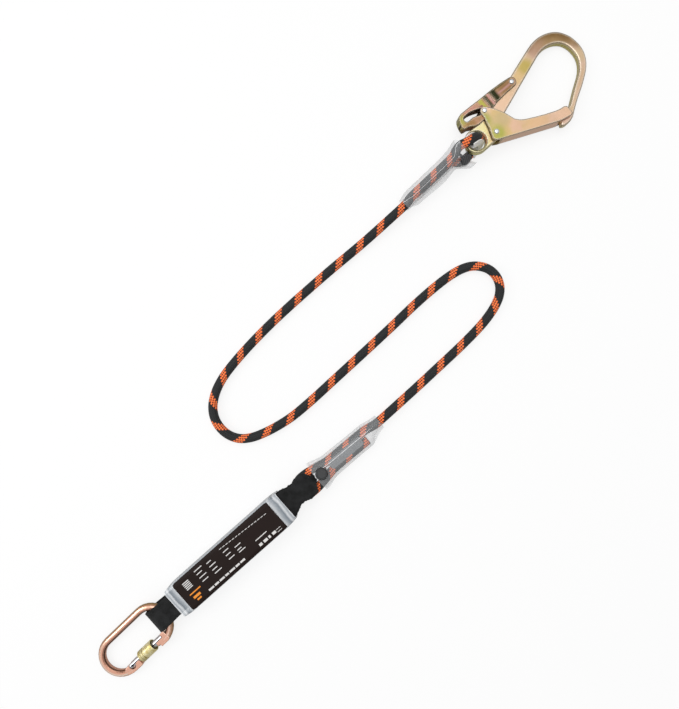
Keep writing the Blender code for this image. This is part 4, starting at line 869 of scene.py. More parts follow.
@dataclass
class SewnEnd:
    """One end of the rope: sewn eye, stitching and clear sleeve.

    Where the eye lies on its side, laid_skirt lists (x, width) of its low skirt, which reaches
    ahead past the sleeve's end, and what would hang below pressed is squeezed up by the floor.
    The sleeve's ripples take ripple_turns radians a metre along it and across it.
    """

    eye: SewnEye
    sheath: Material
    vinyl: Material
    thread: Material
    rope_start: float
    rope_draw: float
    rope_clear: float = 0.00005
    wall: float = 0.0011
    room_above: float = 0.0011
    room_from: float = 0.01
    tail_fade: float = 0.016
    skirt_thick: float = 0.0009
    skirt_shift: float = 0.2
    least_skirt: float = 0.0016
    flare: float = 0.0205
    waist: float = 0.0145
    waist_gain: float = 0.001
    mouth: float = 0.0082
    laid_skirt: tuple = ((-0.0915, 0.0016), (-0.076, 0.0120), (-0.030, 0.0140),
                         (-0.010, 0.0115), (0.0035, 0.0090))
    skirt_ahead: float = 0.012
    lip_ahead: float = 0.006
    fold_in: float = 0.024
    fold_gap: float = 0.00002
    slack: float = 0.0024
    pressed: float = 0.0012
    squeezed: float = 0.2
    sleeve_rings: int = 60
    ripple: float = 0.000132
    ripple_turns: tuple = (460.0, 2100.0)
    stitch_near: float = 0.014
    stitch_length: float = 0.050
    stitch_half: float = 0.0058
    stitch_rows: int = 46
    stitch_lift: float = 0.0002
    stitch_inset: float = 0.0016
    inset_rows: int = 3
    strand_half: float = 0.00048
    strand_rise: float = 0.0007
    strand_root: float = 0.0009
    strand_dip: float = 0.000175
    pad_lift: float = 0.0003
    pad_corner: float = 0.0022
    turns: tuple = (-90, -72, -54, -36, -20, -10, -3, 3, 10, 20, 36, 54, 72, 90)

    def build(self) -> None:
        """Make all pieces of this end."""
        self.rope()
        self.stitches()
        self.sleeve()

    def at(self, x: float, v: float, w: float) -> Vector:
        """Map eye coordinates to the row frame."""
        return self.eye.frame() @ self.eye.local(x, v, w)

    def rope(self) -> None:
        """The rope through the sleeve and round the bight."""
        points = [self.at(x, v, 0.0) for x, v in self.eye.route()]
        skin = tube("rope_through_" + self.eye.name, points, ROPE_D / 2 - self.rope_clear)
        skin.along = [self.rope_start + self.rope_draw * u for u in skin.along]
        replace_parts(skin.build(self.sheath, Slot.ROPE), "rope_eye_" + self.eye.name)

    def stitches(self) -> None:
        """Zigzag rows of thread over the two legs, with a rounded border."""
        base, half = ROPE_D / 2 + self.stitch_lift, self.stitch_half
        far, last = -self.stitch_near - self.stitch_length, self.stitch_rows - 1
        pitch = self.stitch_length / self.stitch_rows
        verts, faces = [], []
        for i in range(self.stitch_rows):
            x0 = far + pitch * (i + 0.2)
            x1 = x0 + pitch * 1.1
            inset = self.stitch_inset * (1 - min(1.0, min(i, last - i) / self.inset_rows))
            first, second = (x0, x1) if i % 2 else (x1, x0)
            self.ridge(verts, faces, ((first, -half + inset), (second, half - inset)), base)
        self.pad(verts, faces, far, base)
        mesh = bpy.data.meshes.new("sewing_" + self.eye.name)
        mesh.from_pydata([tuple(v) for v in verts], [], faces)
        mesh.shade_smooth()
        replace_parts(add_piece(mesh, self.thread), "stitching_" + self.eye.name)

    def pad(self, verts: list, faces: list, far: float, base: float) -> None:
        """Add the close-sewn ground of the block, draped over the two legs, with rounded corners."""
        along, across, corner, first = 40, 12, self.pad_corner, len(verts)
        for x in spaced(far, -self.stitch_near, along):
            to_end = min(x - far, -self.stitch_near - x, corner)
            cut = corner - math.sqrt(max(corner ** 2 - (corner - to_end) ** 2, 0.0))
            half = self.stitch_half - cut
            verts += [self.at(x, v, base + self.pad_lift) for v in spaced(-half, half, across)]
        for i in range(along):
            for j in range(across):
                a = first + i * (across + 1) + j
                faces.append((a, a + 1, a + across + 2, a + across + 1))

    def ridge(self, verts: list, faces: list, ends: tuple, base: float) -> None:
        """Add one stitch, a low arched strand from one side of the block to the other."""
        (x0, v0), (x1, v1) = ends
        width, rise, parts, first = self.strand_half, self.strand_rise, 8, len(verts)
        strand = ((-width, 0.0), (-width * 0.5, rise * 0.8), (width * 0.5, rise * 0.8), (width, 0.0))
        for s in range(parts + 1):
            x, v = x0 + (x1 - x0) * s / parts, v0 + (v1 - v0) * s / parts
            between = abs(v) < self.eye.spread
            dip = self.strand_dip * math.cos(math.pi * v / self.eye.spread) ** 2 * between
            low = base - self.strand_root * (s in (0, parts)) - dip
            verts += [self.at(x + dx, v, low + dw) for dx, dw in strand]
        for a in range(first, first + parts * 4, 4):
            faces += [(a + j, a + j + 1, a + j + 5, a + j + 4) for j in range(3)]

    def stretch(self, x: float, leg: float) -> float:
        """How much wider a slanting leg is across x than the rope is thick."""
        eye, step = self.eye, 0.0005
        change = eye.leg(x + step) - eye.leg(x - step) if x > -eye.spread_start else 0.0
        change = math.copysign(change, leg) / 2
        move = eye.local(x + step, leg + change, 0.0) - eye.local(x - step, leg - change, 0.0)
        return move.length / (2 * step)

    def section(self, x: float) -> list[tuple]:
        """The sleeve's outer section at x with its two flat skirts."""
        eye = self.eye
        laid = eye.skirt_lay is not None
        tail = smoothstep(x, -eye.tail_end - self.tail_fade, -eye.tail_end - eye.tail_straight)
        high_leg = eye.main_leg(x)
        low_leg = -high_leg * tail + (1 - tail) * eye.mouth_v
        above = self.room_above * smoothstep(x, eye.mouth_x + self.room_from, -eye.tail_end)
        points = []
        for leg, first in ((high_leg, 0), (low_leg, 180)):
            half = ROPE_D / 2 * self.stretch(x, leg) + 2 * GAP + self.wall
            for turn in self.turns:
                angle = math.radians(first + turn)
                across, up = math.cos(angle), math.sin(angle)
                room = above if up > 0 else self.slack * laid
                points.append((leg + half * across, (half + room) * up))
        reach = eased(((eye.mouth_x, self.mouth), (-eye.tail_end, self.waist),
                       (-self.stitch_near, self.waist + self.waist_gain), (eye.sleeve_end_x, self.flare)), x)
        high, low = max(points)[0], min(points)[0]
        middle, half = (high + low) * self.skirt_shift, self.skirt_thick / 2
        upper, lower = high + self.least_skirt, low - self.least_skirt
        if laid:
            lower = low - eased(self.laid_skirt, x)
        else:
            upper, lower = max(reach + middle, upper), min(middle - reach, lower)
        tip, turn = len(self.turns) // 2, len(self.turns)
        points[tip - 1], points[tip] = (upper, -half), (upper, half)
        points[turn + tip - 1], points[turn + tip] = (lower, half), (lower, -half)
        return points

    def place(self, x: float, v: float, w: float, fold: float) -> Vector:
        """Place a sleeve point, its low skirt lying down where the eye lies on its side."""
        eye = self.eye
        if eye.skirt_lay is None:
            return eye.local(x, v, w)
        near_end = smoothstep(x, -eye.spread_start, eye.sleeve_end_x)
        if v >= fold:
            leg = eye.main_leg(x)
            share = min(max((leg - v) / (leg - fold), 0.0), 1.0)
            return eye.local(x, v, w) + Vector((self.lip_ahead * share * near_end, 0.0, 0.0))
        folded = smoothstep(x, eye.mouth_x, eye.mouth_x + self.fold_in)
        lay = math.radians(eased(eye.roll, x) * (1 - folded) + eye.skirt_lay * folded)
        offset = Matrix.Rotation(lay, 3, "X") @ Vector((self.skirt_ahead * near_end, v - fold, w))
        return eye.local(x, fold, 0.0) + offset

    def sleeve(self) -> None:
        """The clear sleeve, with small puckers in its skirts and mouth."""
        frame, tip, turn = self.eye.frame(), len(self.turns) // 2, len(self.turns)
        tips = {tip - 1, tip, turn + tip - 1, turn + tip}
        rings, along = [], spaced(self.eye.mouth_x + GAP, self.eye.sleeve_end_x, self.sleeve_rings)
        for x in along:
            section = self.section(x)
            fold = min(v for j, (v, w) in enumerate(section) if j not in tips) - self.fold_gap
            ring = []
            for j, (v, w) in enumerate(section):
                wave = math.sin(x * self.ripple_turns[0] + self.ripple_turns[1] * v)
                ripple = self.ripple * wave * (j not in tips)
                point = frame @ self.place(x, v, w + (ripple if w > 0 else -ripple), fold)
                if self.eye.skirt_lay is not None and point.z < self.pressed:
                    point.z = self.pressed - (self.pressed - point.z) * self.squeezed
                ring.append(point)
            rings.append(ring)
        around = [j * 0.002 for j in range(len(rings[0]) + 1)]
        skin = Skin("clear_sleeve_" + self.eye.name, rings, along, around, capped=False)
        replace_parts(skin.build(self.vinyl, Slot.CLEAR_PVC, 70.0), "sleeve_" + self.eye.name)


@dataclass
class FreeRope:
    """The rope between the two sleeves, lying on the floor in its double bend."""

    sheath: Material
    spacing: float = 0.0035

    def build(self) -> float:
        control = [Vector((*p, LAID_MM)[:3]) * MM + ORIGIN for p in ROPE_ROUTE_MM]
        points = resample(smooth_curve(control, 12), self.spacing)
        length = sum((b - a).length for a, b in zip(points, points[1:]))
        piece = tube("braided_rope", points, ROPE_D / 2).build(self.sheath, Slot.ROPE)
        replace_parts(piece, "rope")
        return length


@dataclass
class Strap:
    """A webbing loop in the layout's X-Z plane from (x, z, width, thickness) stations.

    drift gives how far it strays sideways and between which x. Its edges are wavy by ruffle and
    cupped by cup, which comes in over cup_height and goes out over cup_end. Where it is narrower
    than unbunched, it bunches into folds. mapped says where the map puts its flat and its edge.
    """

    name: str
    node_name: str
    stations: list
    weave: Material
    drift: tuple = (0.0, 0.0, 1.0)
    fold_depth: float = 0.0
    ruffle: float = 0.0
    cup: float = 0.0
    cup_height: tuple = (0.0, 1.0)
    cup_end: tuple = (-0.112, -0.098)
    rounding: float = 0.0008
    unbunched: float = 0.030
    bunching: float = 0.018
    samples: int = 6
    parts: int = 8
    mapped: tuple = (0.018, 0.0195)

    def build(self) -> None:
        """Make the loop with rounded edges and soft folds where it is bunched."""
        closed = self.stations[-2:] + self.stations + self.stations[:2]
        total, skipped = len(self.stations) * self.samples, 2 * self.samples
        curves = [smooth_curve([Vector((s[i], s[i + 1], 0.0)) for s in closed], self.samples)
                  for i in (0, 2)]
        dense, sizes = (curve[skipped:skipped + total] for curve in curves)
        rings, along = [], [0.0]
        for i, here in enumerate(dense):
            after = dense[(i + 1) % total]
            ahead = (after - dense[i - 1]).normalized()
            rings.append(self.ring(here, Vector((ahead.y, -ahead.x)), sizes[i].x, sizes[i].y, along[-1]))
            along.append(along[-1] + (after - here).length)
        flat, edge = self.mapped
        top = spaced(flat, -flat, self.parts)
        across = top + [-edge] + [v + 0.001 for v in reversed(top)] + [edge, flat]
        skin = Skin(self.name, rings, along, across, loop_ring=True)
        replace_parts(skin.build(self.weave, Slot.WEBBING, 60.0), self.node_name)

    def ring(self, here: Vector, out: Vector, width: float, thickness: float, s: float) -> list[Vector]:
        """One section of the strap, s from its start."""
        half, thick = width / 2, thickness / 2
        edge = half - min(thick * 0.7, self.rounding)
        bunch = min(1.0, max(0.0, (self.unbunched - width) / self.bunching)) * self.fold_depth
        cup = self.cup * smoothstep(here.y, *self.cup_height) * (1 - smoothstep(here.x, *self.cup_end))
        drift = self.drift[0] * smoothstep(here.x, *self.drift[1:])
        top = spaced(edge, -edge, self.parts)
        outline = [(y, thick) for y in top] + [(-half, 0.0)]
        outline += [(y, -thick) for y in reversed(top)] + [(half, 0.0)]
        ring = []
        for y, n in outline:
            n += bunch * math.sin(y * 900 + s * 40)
            part, left = abs(y) / half, y > 0
            wander = math.sin(s * 520 + 1.3) + 0.6 * math.sin(s * 1130 + 2.0 * left)
            n += 0.5 * self.ruffle * part * part * math.sin(s * 760 + 1.9 * left)
            y += math.copysign(self.ruffle * part * part * wander, y) + drift
            rise = cup * max(0.0, 3 * part - 2) ** 2
            ring.append(ORIGIN + Vector((here.x + out.x * n, y, here.y + out.y * n + rise)))
        return ring


@dataclass
class AbsorberPack:
    """The pack: film cover, folded webbing and the two webbing loops.

    The film is creased near its ends, with crease_turns radians a metre along it and across.
    """

    film: Material
    weave: Material
    length: float = 0.182
    width: float = 0.0425
    height: float = 0.026
    mouth_height: float = 0.0235
    taper: float = 0.016
    corner: float = 0.0045
    mouth_draw: float = 0.0030
    crease: float = 0.00035
    crease_reach: float = 0.014
    crease_turns: tuple = (700.0, 620.0)
    fold_width: float = 0.0365
    folds: int = 6
    loop_inner: float = 0.0775
    karabiner_far: float = 0.1305
    neck_at: float = 0.0120

    def build(self) -> None:
        """Make every piece of the pack."""
        self.cover()
        self.folded_webbing()
        self.karabiner_loop()
        self.rope_loop()

    def cover(self) -> None:
        """The shrink film: a tube with soft creases near its two open ends."""
        rings, (along, across) = [], self.crease_turns
        stations = spaced(-self.length / 2, self.taper - self.length / 2, 12)
        stations += [0.0] + [-x for x in reversed(stations)]
        for x in stations:
            to_end = self.length / 2 - abs(x)
            part = min(1.0, to_end / self.taper)
            height = self.mouth_height + (self.height - self.mouth_height) * math.sin(part * math.pi / 2)
            width = self.width - self.mouth_draw * (1 - part) ** 2
            near = self.crease * (1 - min(1.0, to_end / self.crease_reach))
            ring = []
            for cy, cz, first in ((1, 1, 0), (-1, 1, 90), (-1, -1, 180), (1, -1, 270)):
                middle = (cy * (width / 2 - self.corner), cz * (height / 2 - self.corner))
                for y, z in arc(middle, self.corner, first, first + 90, 8):
                    crease = near * math.sin(y * across + 3 * cz) * math.sin(x * along)
                    z = self.height / 2 + z * (1 - crease * 20) - abs(crease)
                    ring.append(ORIGIN + Vector((x, y, z)))
            rings.append(ring)
        skin = Skin("shrink_film", rings, stations, [i * 0.003 for i in range(37)], capped=False)
        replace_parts(skin.build(self.film, Slot.FILM, 60.0), "absorber_cover")

    def folded_webbing(self) -> None:
        """The tear webbing, folded to and fro, as one woven strap with round turns."""
        layer, gap, half, short = 0.0032, 0.0007, 0.074, 0.90
        pitch = layer + gap
        low = self.height / 2 - (self.folds * pitch - gap) / 2
        points = []
        for i in range(self.folds):
            z = low + layer / 2 + i * pitch
            side = -1 if i % 2 else 1
            points += [(-half * side * (short if i else 1.0), z), (half * side * short, z)]
            if i < self.folds - 1:
                centre = (side * (half - layer - gap / 2), z + pitch / 2)
                points += arc(centre, pitch / 2, *((-90, 90) if side > 0 else (270, 90)), 6)
        points = [Vector((x, z, 0.0)) for x, z in points]
        rings, along = [], []
        for i, here in enumerate(points):
            ahead = heading_at(points, i)
            ring = []
            for y, n in ((1, 0.3), (0.98, 0.48), (-0.98, 0.48), (-1, 0.3),
                         (-1, -0.3), (-0.98, -0.48), (0.98, -0.48), (1, -0.3)):
                out = n * layer
                place = (here.x - ahead.y * out, y * self.fold_width / 2, here.y + ahead.x * out)
                ring.append(ORIGIN + Vector(place))
            rings.append(ring)
            along.append(along[-1] + (here - points[i - 1]).length if i else 0.0)
        places = [0.018, 0.0175, -0.0175, -0.018, -0.02, -0.0195, 0.0195, 0.02, 0.018]
        skin = Skin("tear_webbing", rings, along, places)
        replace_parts(skin.build(self.weave, Slot.WEBBING, 50.0), "absorber_pack")

    def karabiner_loop(self) -> None:
        """The loop that the karabiner hangs in, its two ends drawn together inside the pack."""
        thick, wide, clear, narrowing = 0.0019, 0.030, 0.0088, 0.0025
        mid = clear + thick / 2
        axis_z = clear + thick + GAP / 2
        fold_x = -self.karabiner_far + thick / 2 + mid
        inner_x, centre_z = -self.loop_inner, self.height / 2
        stations = [(x, z, wide, thick) for x, z in arc((fold_x, axis_z), mid, 90, 270, 14)]
        for side, parts in ((-1, (0.35, 0.7, 1.0)), (1, (1.0, 0.7, 0.35))):
            far_z = axis_z + side * mid
            for part in parts:
                z = far_z + (centre_z + side * mid * 0.75 - far_z) * smoothstep(part, 0.3, 1.0)
                stations.append((fold_x + (inner_x - fold_x) * part, z, wide - narrowing * part, thick))
            if side < 0:
                stations.append((inner_x + 0.0012, centre_z, wide - narrowing, thick))
        Strap("karabiner_strap", "webbing_loop_karabiner", stations, self.weave, cup=0.0026,
              cup_height=(axis_z + mid * 0.4, axis_z + mid * 0.9)).build()

    def rope_loop(self) -> None:
        """The loop through the rope's eye, wide over the bight and bunched inside it."""
        thick, wide, neck = 0.0023, 0.036, 0.0080
        eye = absorber_eye()
        apex = eye.frame() @ eye.local(eye.bight_x + eye.bight_r, 0.0, 0.0) - ORIGIN
        neck_x = (eye.frame() @ eye.local(self.neck_at, 0.0, 0.0) - ORIGIN).x
        over = apex.z + ROPE_D / 2 + GAP + thick / 2
        under = 2 * GAP + thick / 2
        start, middle = self.loop_inner, self.height / 2
        stations = [
            (start, middle + 0.0062, wide, thick), (start + 0.012, middle + 0.0060, wide, thick),
            (start + 0.024, over - 0.0006, wide * 0.78, thick), (apex.x - 0.004, over, wide * 0.70, thick),
            (apex.x + 0.006, over, wide * 0.88, thick), (neck_x - 0.0066, over + 0.0003, wide * 0.86, thick),
            (neck_x - 0.0034, over + 0.0002, wide * 0.62, thick * 1.1),
            (neck_x - 0.0011, over - 0.0010, wide * 0.36, thick * 1.3),
            (neck_x, over - 0.0038, neck, thick * 1.6), (neck_x, apex.z, neck, thick * 1.7),
            (neck_x - 0.0002, apex.z - 0.0040, neck, thick * 1.5),
            (neck_x - 0.0030, under + 0.0010, wide * 0.36, thick * 1.1),
            (neck_x - 0.0078, under, wide * 0.6, thick), (apex.x + 0.004, under, wide * 0.66, thick),
            (apex.x - 0.004, under, wide * 0.68, thick), (start + 0.024, under + 0.0006, wide * 0.78, thick),
            (start + 0.012, middle - 0.0064, wide, thick), (start, middle - 0.0062, wide, thick),
            (start - 0.0016, middle, wide, thick),
        ]
        Strap("rope_strap", "webbing_loop_rope", stations, self.weave, (apex.y, 0.089, apex.x),
              0.0006, 0.0008).build()


@dataclass
class PrintedLabel:
    """The dark label with its plain bars, which are given in the layout frame's millimetres.

    rows lists the (y, length) of the bars of each text column, by the column's x. words gives the
    lengths of the bars of one line, and blocks the (x, length) of the thicker ones. The panel is
    slightly wavy, with wave_turns radians a metre along it, but flat within wave_from of its ends.
    """

    ink: Material
    accent: Material
    paper: Material
    top: float = 0.0268
    length: float = 0.153
    width: float = 0.0405
    thick: float = 0.0005
    flat: float = 0.01675
    ink_lift: float = 0.00008
    corner: float = 0.0050
    end_draw: float = 0.0016
    end_round: float = 0.0012
    wave: float = 0.00004
    wave_turns: float = 210.0
    wave_from: float = 0.01
    rows: tuple = ((-45.0, ((14.6, 12.0), (9.8, 8.5), (4.4, 11.0), (-1.0, 9.5))),
                   (-27.0, ((12.0, 7.0), (6.5, 10.0), (1.2, 8.0), (-3.6, 11.0))),
                   (-3.0, ((8.8, 8.5), (3.4, 7.5), (-2.2, 9.0))),
                   (12.0, ((4.0, 9.0), (-0.8, 6.5), (-4.0, 10.0))), (36.0, ((-6.8, 18.0),)))
    words: tuple = (8.0, 6.5, 7.6, 5.4, 8.4, 6.0, 7.2)
    blocks: tuple = ((36.0, 4.6), (43.0, 6.0), (51.0, 3.0), (57.0, 5.4))
    accents: tuple = ((-67.5, -3.4, 17.0, 1.5), (-66.0, -9.0, 10.5, 3.0), (-64.0, -13.5, 6.5, 2.0))

    def build(self) -> None:
        """Make the printed panel and lay the bars on it."""
        self.panel()
        self.lay("label_bars", self.bars(), self.ink)
        self.lay("label_accent", self.accents, self.accent)

    def panel(self) -> None:
        """The printed panel: a thin sheet that folds down over the cover's two long corners."""
        upper = []
        for y in spaced(-self.width / 2, self.width / 2, 16):
            beyond = max(abs(y) - self.flat, 0.0)
            upper.append((y, self.top - self.corner + math.sqrt(self.corner ** 2 - beyond ** 2)))
        outline = upper + [(y, z - self.thick) for y, z in reversed(upper)]
        rings, along = [], spaced(-self.length / 2, self.length / 2, 40)
        for x in along:
            to_end = max(self.length / 2 - abs(x), 0.0)
            drawn_in = 1 - self.end_draw / self.width * max(0.0, 1 - to_end / self.end_round) ** 2
            wave = self.wave * math.sin(x * self.wave_turns) * min(1.0, to_end / self.wave_from)
            rings.append([ORIGIN + Vector((x, y * drawn_in, z + wave)) for y, z in outline])
        skin = Skin("printed_label", rings, along, [i * 0.0025 for i in range(35)])
        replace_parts(skin.build(self.paper, Slot.LABEL_FILM, 40.0), "absorber_label")

    def bars(self) -> list[tuple]:
        """Every bar as (x, y, length, height)."""
        count, start, run = 15, -4.0, 73.0
        bars = [(start + run * i / count, 14.6 - i / 3, run / count * 0.72, 0.75) for i in range(count)]
        x = -46.0
        for width in self.words:
            bars.append((x, -14.3, width, 2.4))
            x += width + 1.5
        bars += [(x, y, length, 1.1) for x, column in self.rows for y, length in column]
        bars += [(x, -14.2, length, 3.4) for x, length in self.blocks]
        bars += [(63.5, y, 7.0, 0.6) for y in (-13.4, -16.6)]
        return bars + [(-66.0, 12.4 - i * 2.2, 9.5, 1.2) for i in range(5)]

    def lay(self, name: str, bars: list[tuple], ink: Material) -> None:
        """Lay flat bars just above the label."""
        verts, faces = [], []
        for x, y, length, height in bars:
            first = len(verts)
            for dx, dy in ((0, -0.5), (length, -0.5), (length, 0.5), (0, 0.5)):
                corner = Vector((x + dx, y + dy * height, 0.0)) * MM
                verts.append(ORIGIN + corner + Vector((0.0, 0.0, self.top + self.ink_lift)))
            faces.append(tuple(range(first, first + 4)))
        mesh = bpy.data.meshes.new(name)
        mesh.from_pydata([tuple(v) for v in verts], [], faces)
        add_piece(mesh, ink)


# Patches of passivation colour on the hook's parts, painted highlight and painted shade along the
# lever's ribs and steps, and the karabiner's rod tones of painted highlight and painted reflection,
# as PassivatedZinc and PlatedRod read them.
HOOK_SPOTS = (
    (158, 28, 30, "#A08054", 0.85), (172, 8, 24, "#A58558", 0.85), (139, 25, 19, "#B48E76", 0.7),
    (148, 42, 20, "#7C5E36", 0.9), (168, 32, 20, "#7A5C32", 0.9), (182, 12, 20, "#80623A", 0.9),
    (187, -10, 15, "#8A6C42", 0.85), (131, 38, 15, "#8E6A4C", 0.85), (172, -22, 12, "#D2BC88", 0.5),
    (154, -46, 24, "#DAB898", 0.7), (112, 17, 16, "#C0AC56", 0.85), (96, 14, 13, "#DCBC80", 0.7),
    (64, 10, 22, "#E5C09E", 0.6), (-6, -8, 28, "#D4CE84", 0.9), (13, 6, 20, "#DAD49A", 0.85),
)
GATE_SPOTS = (
    (38, -4, 18, "#C0AC80", 0.8), (22, 10, 16, "#9EA04C", 0.9), (23, -13, 17, "#A5A74E", 0.9),
    (12, -2, 11, "#967E50", 0.85), (46, -23, 14, "#E0B6A0", 0.6), (68, -38, 22, "#E4BC94", 0.8),
    (101, -56, 22, "#EEC6A6", 0.8),
)
LEVER_SPOTS = (
    (20, 30, 15, "#B98678", 0.85), (76, 21, 16, "#94704C", 0.8), (5, 30, 11, "#9E9C50", 0.85),
    (33, 24, 8, "#B08A6C", 0.6),
)
# Directions across the lever and along it, for bars that run the other way.
CROSS, LONG = (0.989, -0.148, 0), (0.148, 0.989, 0)
# Painted highlight and painted shade along the lever's ribs and its stepped side plate.
LEVER_RIB_LIGHT = (
    (70, 25, LONG, 1.2, 17, "#6A5A34"), (68, 19, LONG, 1.3, 15, "#B88C80"),
    (57.5, 23, CROSS, 4, 12, "#2E3018"), (50.5, 24, CROSS, 1.8, 12, "#C49088"),
    (46, 25, CROSS, 2.4, 12, "#38341C"), (38, 26.5, CROSS, 3, 12, "#B0A850"),
    (22, 26, LONG, 1.2, 15, "#8A5A58"),
)
# Karabiner body: its pink, with painted highlights and painted shade by the rod's facing.
PINK_ROD_LIGHT = (
    (0.0, "#D8A28A"), (0.08, "#80563F"), (0.14, "#34221B"), (0.2, "#80563F"), (0.33, "#CF9880"),
    (0.5, "#E0A890"), (0.6, "#FFEBD8"), (0.68, "#F0C4A8"), (0.84, "#D09A7E"), (0.95, "#A07C48"),
    (1.0, "#7E6238"),
)
# Chrome gate: painted reflections, white highlights and a dark stripe by facing.
CHROME_ROD_REFLECTION = (
    (0.0, "#9A9CA0"), (0.08, "#E8EAEE"), (0.22, "#FFFFFF"), (0.32, "#E0E0E4"), (0.37, "#17171D"),
    (0.5, "#1E1E26"), (0.56, "#A0A0A6"), (0.7, "#F0F0F2"), (1.0, "#D8D8DC"),
)


@dataclass
class ScaffoldHook:
    """The hook, its gate, lever, rivets and springs, as the frame places them."""

    place: tuple = (0.5608, 0.17835, 0.0202)
    heading: float = 6.4
    tilt: float = 4.88

    def build(self) -> None:
        """Give every piece of the hook its finish."""
        frame = turned(ORIGIN + Vector(self.place), self.heading, self.tilt)
        # Each finish: base, cloud, then the pale painted highlight for its edges; side gives the walls'
        # tone, partly painted light; the lever gets a darker painted edge shade.
        body = PassivatedZinc("hook_zinc", "#E2C0AA", "#D8BC94", "#FFF6E4", frame, HOOK_SPOTS,
                              roughness=0.33, side="#B4B058")
        gate = PassivatedZinc("gate_zinc", "#E2BEA6", "#D2B480", "#FFF8E6", frame, GATE_SPOTS,
                              side="#E0B89C", wall_light_weight=0.9)
        lever = PassivatedZinc("lever_zinc", "#BC9078", "#94744C", "#F4E6C8", frame, LEVER_SPOTS, LEVER_RIB_LIGHT,
                               side="#8C8A44", edge_shade="#2A1C14", edge_shade_weight=0.9)
        for node_name, finish in (("hook_body", body), ("hook_gate", gate), ("hook_lever", lever)):
            dress([node_name], finish.material(), 30.0)
        dress(["gate_rivet", "lever_rivet", "lock_pin"], PolishedSteel("rivet_steel").material(), 30.0)
        spring = PolishedSteel("spring_wire", "#8E9094", 0.3, 0.4).material()
        dress(["gate_spring", "lever_spring", "karabiner_gate_spring"], spring, 50.0)
        LOG.info("dressed the hook")


@dataclass
class Karabiner:
    """The karabiner with its gate, hinge pin, plunger and screw sleeve."""

    axis: Vector
    back: float = 0.04755
    heading: float = 2.4
    tilt: float = -3.2
    sleeve_place: tuple = (-0.0110, -0.01965, 0.0)

    def build(self) -> None:
        """Give every piece of the karabiner its finish."""
        frame = turned(self.axis, self.heading, self.tilt) @ Matrix.Translation((-self.back, 0.0, 0.0))
        dress(["karabiner_body"], PlatedRod("karabiner_zinc", frame, PINK_ROD_LIGHT).material(), 40.0)
        chrome = PlatedRod("gate_chrome", frame, CHROME_ROD_REFLECTION, 200.0, 0.85, 0.12, 0.03).material()
        dress(["karabiner_gate", "gate_plunger", "karabiner_hinge_pin"], chrome)
        dress(["screw_sleeve"], KnurledBrass(frame @ Matrix.Translation(self.sleeve_place)).material())
        LOG.info("dressed the karabiner")


def turned(place: Vector, heading: float, tilt: float) -> Matrix:
    """A frame at a place, tilted about its Y and then headed about Z, in degrees."""
    turn = Matrix.Rotation(math.radians(heading), 4, "Z") @ Matrix.Rotation(math.radians(tilt), 4, "Y")
    return Matrix.Translation(place) @ turn


